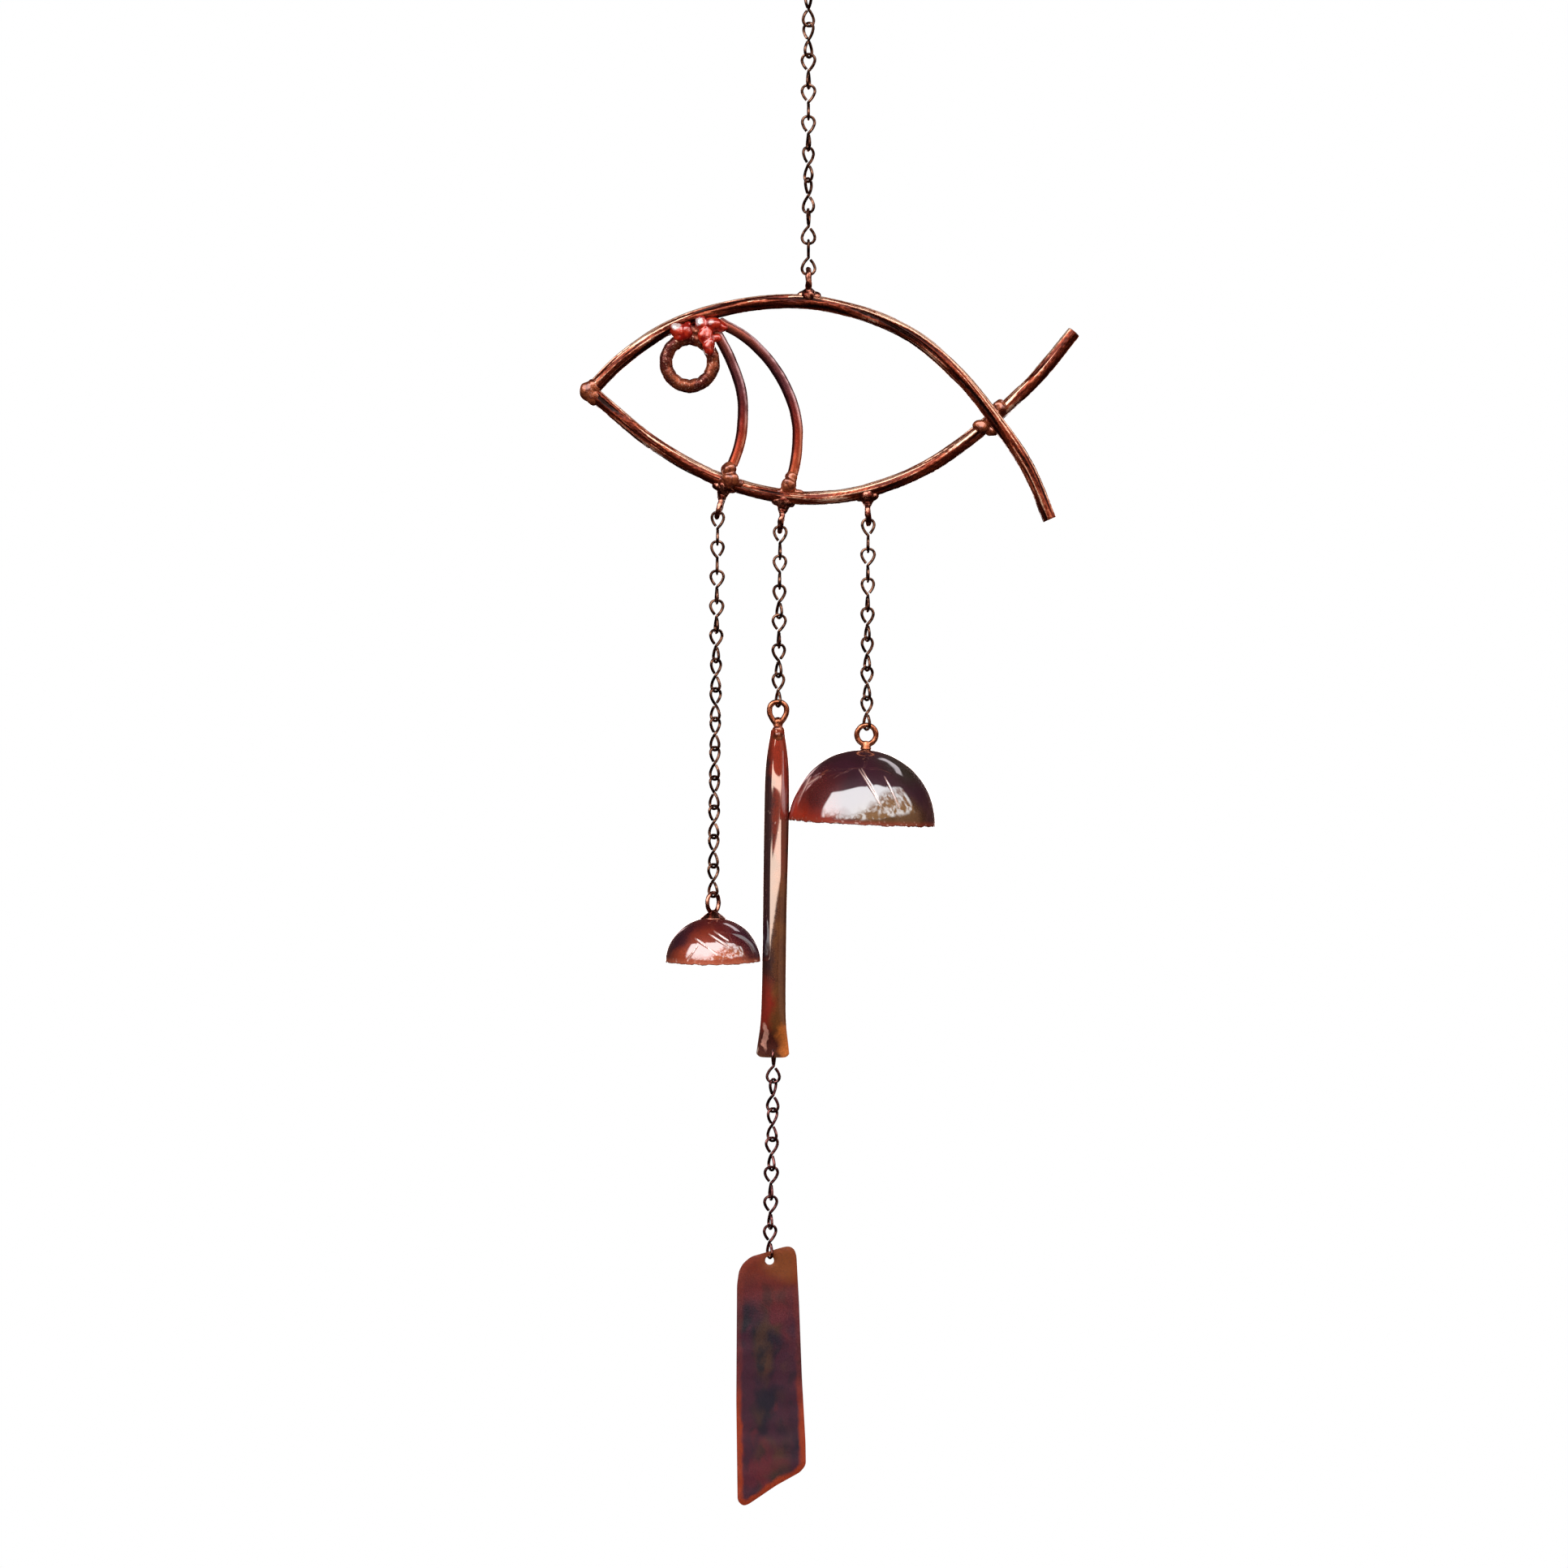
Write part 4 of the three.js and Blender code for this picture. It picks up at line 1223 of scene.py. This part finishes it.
def make_sail():
    edge = spaced(np.array(SAIL_OUTLINE + SAIL_OUTLINE[:1], float), SAIL["edge_points"])[:-1]
    for _ in range(3):  # ease the corners
        edge = 0.5 * edge + 0.25 * (np.roll(edge, 1, 0) + np.roll(edge, -1, 0))
    bearing = BEARINGS["wind_sail"]
    centre = np.array([bearing[0], bearing[2] + PLAY / 2 - SAIL["hole"]])
    angle = -around(SAIL["hole_points"])
    hole = centre + (SAIL["hole"] + RUB["depth"]) * np.stack([np.cos(angle), np.sin(angle)], 1)
    flat, triangles = flat_sail(edge, hole)
    to_edge = nearest(flat, edge)
    to_hole = nearest(flat, hole)
    places = broadcast_points(flat[:, 0], 0.0, flat[:, 1])
    # a beaten sheet: shallow dimples, and a gentle roll that dies away at the chain's hole
    wave = 0.35 * ripple(places, 60, 51) + 0.10 * ripple(places, 13, 52)
    wave *= smoothstep(to_hole, 2, 14)
    eased = smoothstep(to_edge, -0.1, 0.8) * smoothstep(to_hole, -0.1, 0.8)
    thin = SAIL["thickness"] / 2 * (0.5 + 0.5 * eased)
    front, back = (places + broadcast_points(0.0, wave + side * thin, 0.0) for side in (-1, 1))
    count = len(places)
    faces = triangles.tolist() + (triangles[:, ::-1] + count).tolist()
    sides = [(a, b) for t in triangles.tolist() for a, b in zip(t, t[1:] + t[:1])]
    known = set(sides)
    faces += [[b, a, a + count, b + count] for a, b in sides if (b, a) not in known]
    border = np.tile(1 - smoothstep(to_edge, 0.0, 7.0), 2)
    make_piece(
        "wind_sail_sheet", (np.vstack([front, back]), faces), "sail_patina", "wind_sail", "sail_patina",
        ["wind_sail"], 50, border=border,
    )


# ---- camera, stage and light

def make_camera():
    data = bpy.data.cameras.new("camera")
    data.sensor_width = SENSOR
    data.lens = SENSOR * CAMERA["distance"] / CAMERA["seen"]
    camera = bpy.data.objects.new("camera", data)
    bpy.context.scene.collection.objects.link(camera)
    place = Vector((CAMERA["x"], -CAMERA["distance"], CAMERA["z"])) * MM
    aim = Vector((CAMERA["x"], 0, CAMERA["aim_z"])) * MM
    camera.location = place
    camera.rotation_mode = "QUATERNION"
    camera.rotation_quaternion = (aim - place).to_track_quat("-Z", "Y")
    bpy.context.scene.camera = camera


def make_stage():
    """A pale floor that curves up into a pale wall all round. Only the camera sees it."""
    floor = CAD_BOX[0][2] / MM - STAGE["floor_drop"]
    radius, bend, ceiling = STAGE["radius"], STAGE["bend"], floor + STAGE["height"]
    flat = radius - bend
    profile = [(NEAR_AXIS, floor), (flat * 0.5, floor)]
    for a in np.linspace(0, math.pi / 2, 12):
        profile.append((flat + bend * math.sin(a), floor + bend * (1 - math.cos(a))))
    profile += [(radius, ceiling), (NEAR_AXIS, ceiling)]
    angle = around(STAGE["sides"])
    r, z = np.array(profile).T[:, :, None]
    rings = broadcast_points(r * np.cos(angle), r * np.sin(angle), z)
    stage = new_object("stage", (rings.reshape(-1, 3), grid_faces(len(profile), STAGE["sides"])))
    stage.data.shade_smooth()
    white = {"Color": (1.0, 1.0, 1.0), "Strength": 1.0}
    new_material("stage_white").finish("ShaderNodeEmission", white, "ShaderNodeOutputMaterial")
    stage.data.materials.append(MATERIALS["stage_white"])
    for ray in ("visible_diffuse", "visible_glossy", "visible_transmission", "visible_shadow"):
        setattr(stage, ray, False)


# Small bright or warm areas around the chime: azimuths, elevations, softness and colour.
OPENINGS = [
    ((124, 164), (40, 48), 1.5, (1.9, 1.7, 1.8)),
    ((-160, -153), (9, 25), 1.5, (1.7, 1.1, 1.1)),
    ((50, 100), (-16, 13), 4, (0.26, 0.13, 0.085)),
]


def make_light():
    """Soft daylight as on a porch: a band of sky under a dark roof, and warm, dim surroundings.

    Azimuths are in degrees from straight in front of the fish, and grow towards its tail.
    """
    world = bpy.data.worlds.new("porch")
    bpy.context.scene.world = world
    world.use_nodes = True
    g = Graph(world.node_tree)
    heading = g.node("ShaderNodeTexCoord").outputs["Generated"]
    x, y, z = g.node("ShaderNodeSeparateXYZ", {0: heading}).outputs
    elevation = g.math("DEGREES", g.math("ARCSINE", z))
    azimuth = g.math("DEGREES", g.math("ARCTAN2", x, g.times(y, -1.0)))

    def leaves(detail):
        settings = {"Vector": heading, "Scale": 7.0, "Detail": detail}
        return g.node("ShaderNodeTexNoise", settings).outputs["Fac"]

    def band(value, low, high, soft):
        """1 where value is from low to high."""
        rise = g.step(value, low - soft, low + soft)
        return g.times(rise, g.step(value, high - soft, high + soft, 1.0, 0.0))

    # the room: dark above and below, with a warm glow along the horizon
    colour = g.ramp(
        g.math("DIVIDE", g.add(elevation, 90.0), 180.0),
        (0.0, (0.020, 0.009, 0.008)), (0.38, (0.035, 0.015, 0.013)), (0.48, (0.13, 0.060, 0.040)),
        (0.54, (0.15, 0.065, 0.045)), (0.62, (0.06, 0.028, 0.026)), (1.0, (0.028, 0.016, 0.022)),
    )
    fine, coarse = leaves(5.0), leaves(2.0)
    colour = g.mix(g.step(fine, 0.35, 0.65, 0.0, 0.7), colour, (0.03, 0.015, 0.012))
    # the sky in front, arched at its top, with trees before its lower part, more of them to the right
    away = g.math("DIVIDE", g.minus(azimuth, 8.0), 80.0)
    top = g.minus(57.0, g.times(away, away, 16.0))
    under_top = g.step(g.minus(top, elevation), -1.5, 1.5)
    sky = g.times(under_top, g.step(elevation, 8, 12), band(azimuth, -67, 88, 3))
    tree_line = g.add(g.step(azimuth, -20, 40, 18.0, 46.0), g.times(fine, 40.0))
    tree_line = g.minus(tree_line, 20.0)
    trees = g.step(g.minus(elevation, tree_line), -7, 5, 1.0, 0.0)
    trees = g.times(trees, g.step(coarse, 0.42, 0.64, 1.0, 0.2))
    colour = g.mix(sky, colour, g.mix(trees, (3.6, 3.65, 3.7), (0.70, 0.36, 0.17)))
    # a bright gap below the sky, seen in upright pieces: its right edge swells and narrows again
    right_edge = g.add(-36.0, g.times(band(elevation, -3.2, -1.6, 0.25), 84.0))
    gap = g.times(g.step(azimuth, -54, -50), g.step(g.minus(right_edge, azimuth), -2, 2))
    gap = g.times(gap, band(elevation, -3.55, -0.9, 0.3))
    colour = g.mix(gap, colour, (4.2, 3.1, 2.5))
    for azimuths, elevations, soft, tint in OPENINGS:
        area = g.times(band(azimuth, *azimuths, soft), band(elevation, *elevations, soft))
        colour = g.mix(area, colour, tint)
    # a wide opening straight behind, broken up by leaves
    behind = g.minus(180.0, g.math("ABSOLUTE", azimuth))
    opening = g.times(g.step(behind, 20, 24, 1.0, 0.0), band(elevation, -12, 13, 1.5))
    opening = g.times(opening, g.step(coarse, 0.40, 0.60, 0.6, 1.0))
    colour = g.mix(opening, colour, (5.0, 4.4, 4.2))
    g.finish("ShaderNodeBackground", {"Color": colour, "Strength": 1.0}, "ShaderNodeOutputWorld")
    bpy.context.scene.view_settings.view_transform = "Standard"


make_camera()
make_stage()
make_light()
make_hook()
make_chains()
make_fish()
make_bell("small_bell", SMALL_BELL, 61, "hanger_copper")
make_bell("large_bell", LARGE_BELL, 71, "loop_copper")
make_striker()
make_sail()
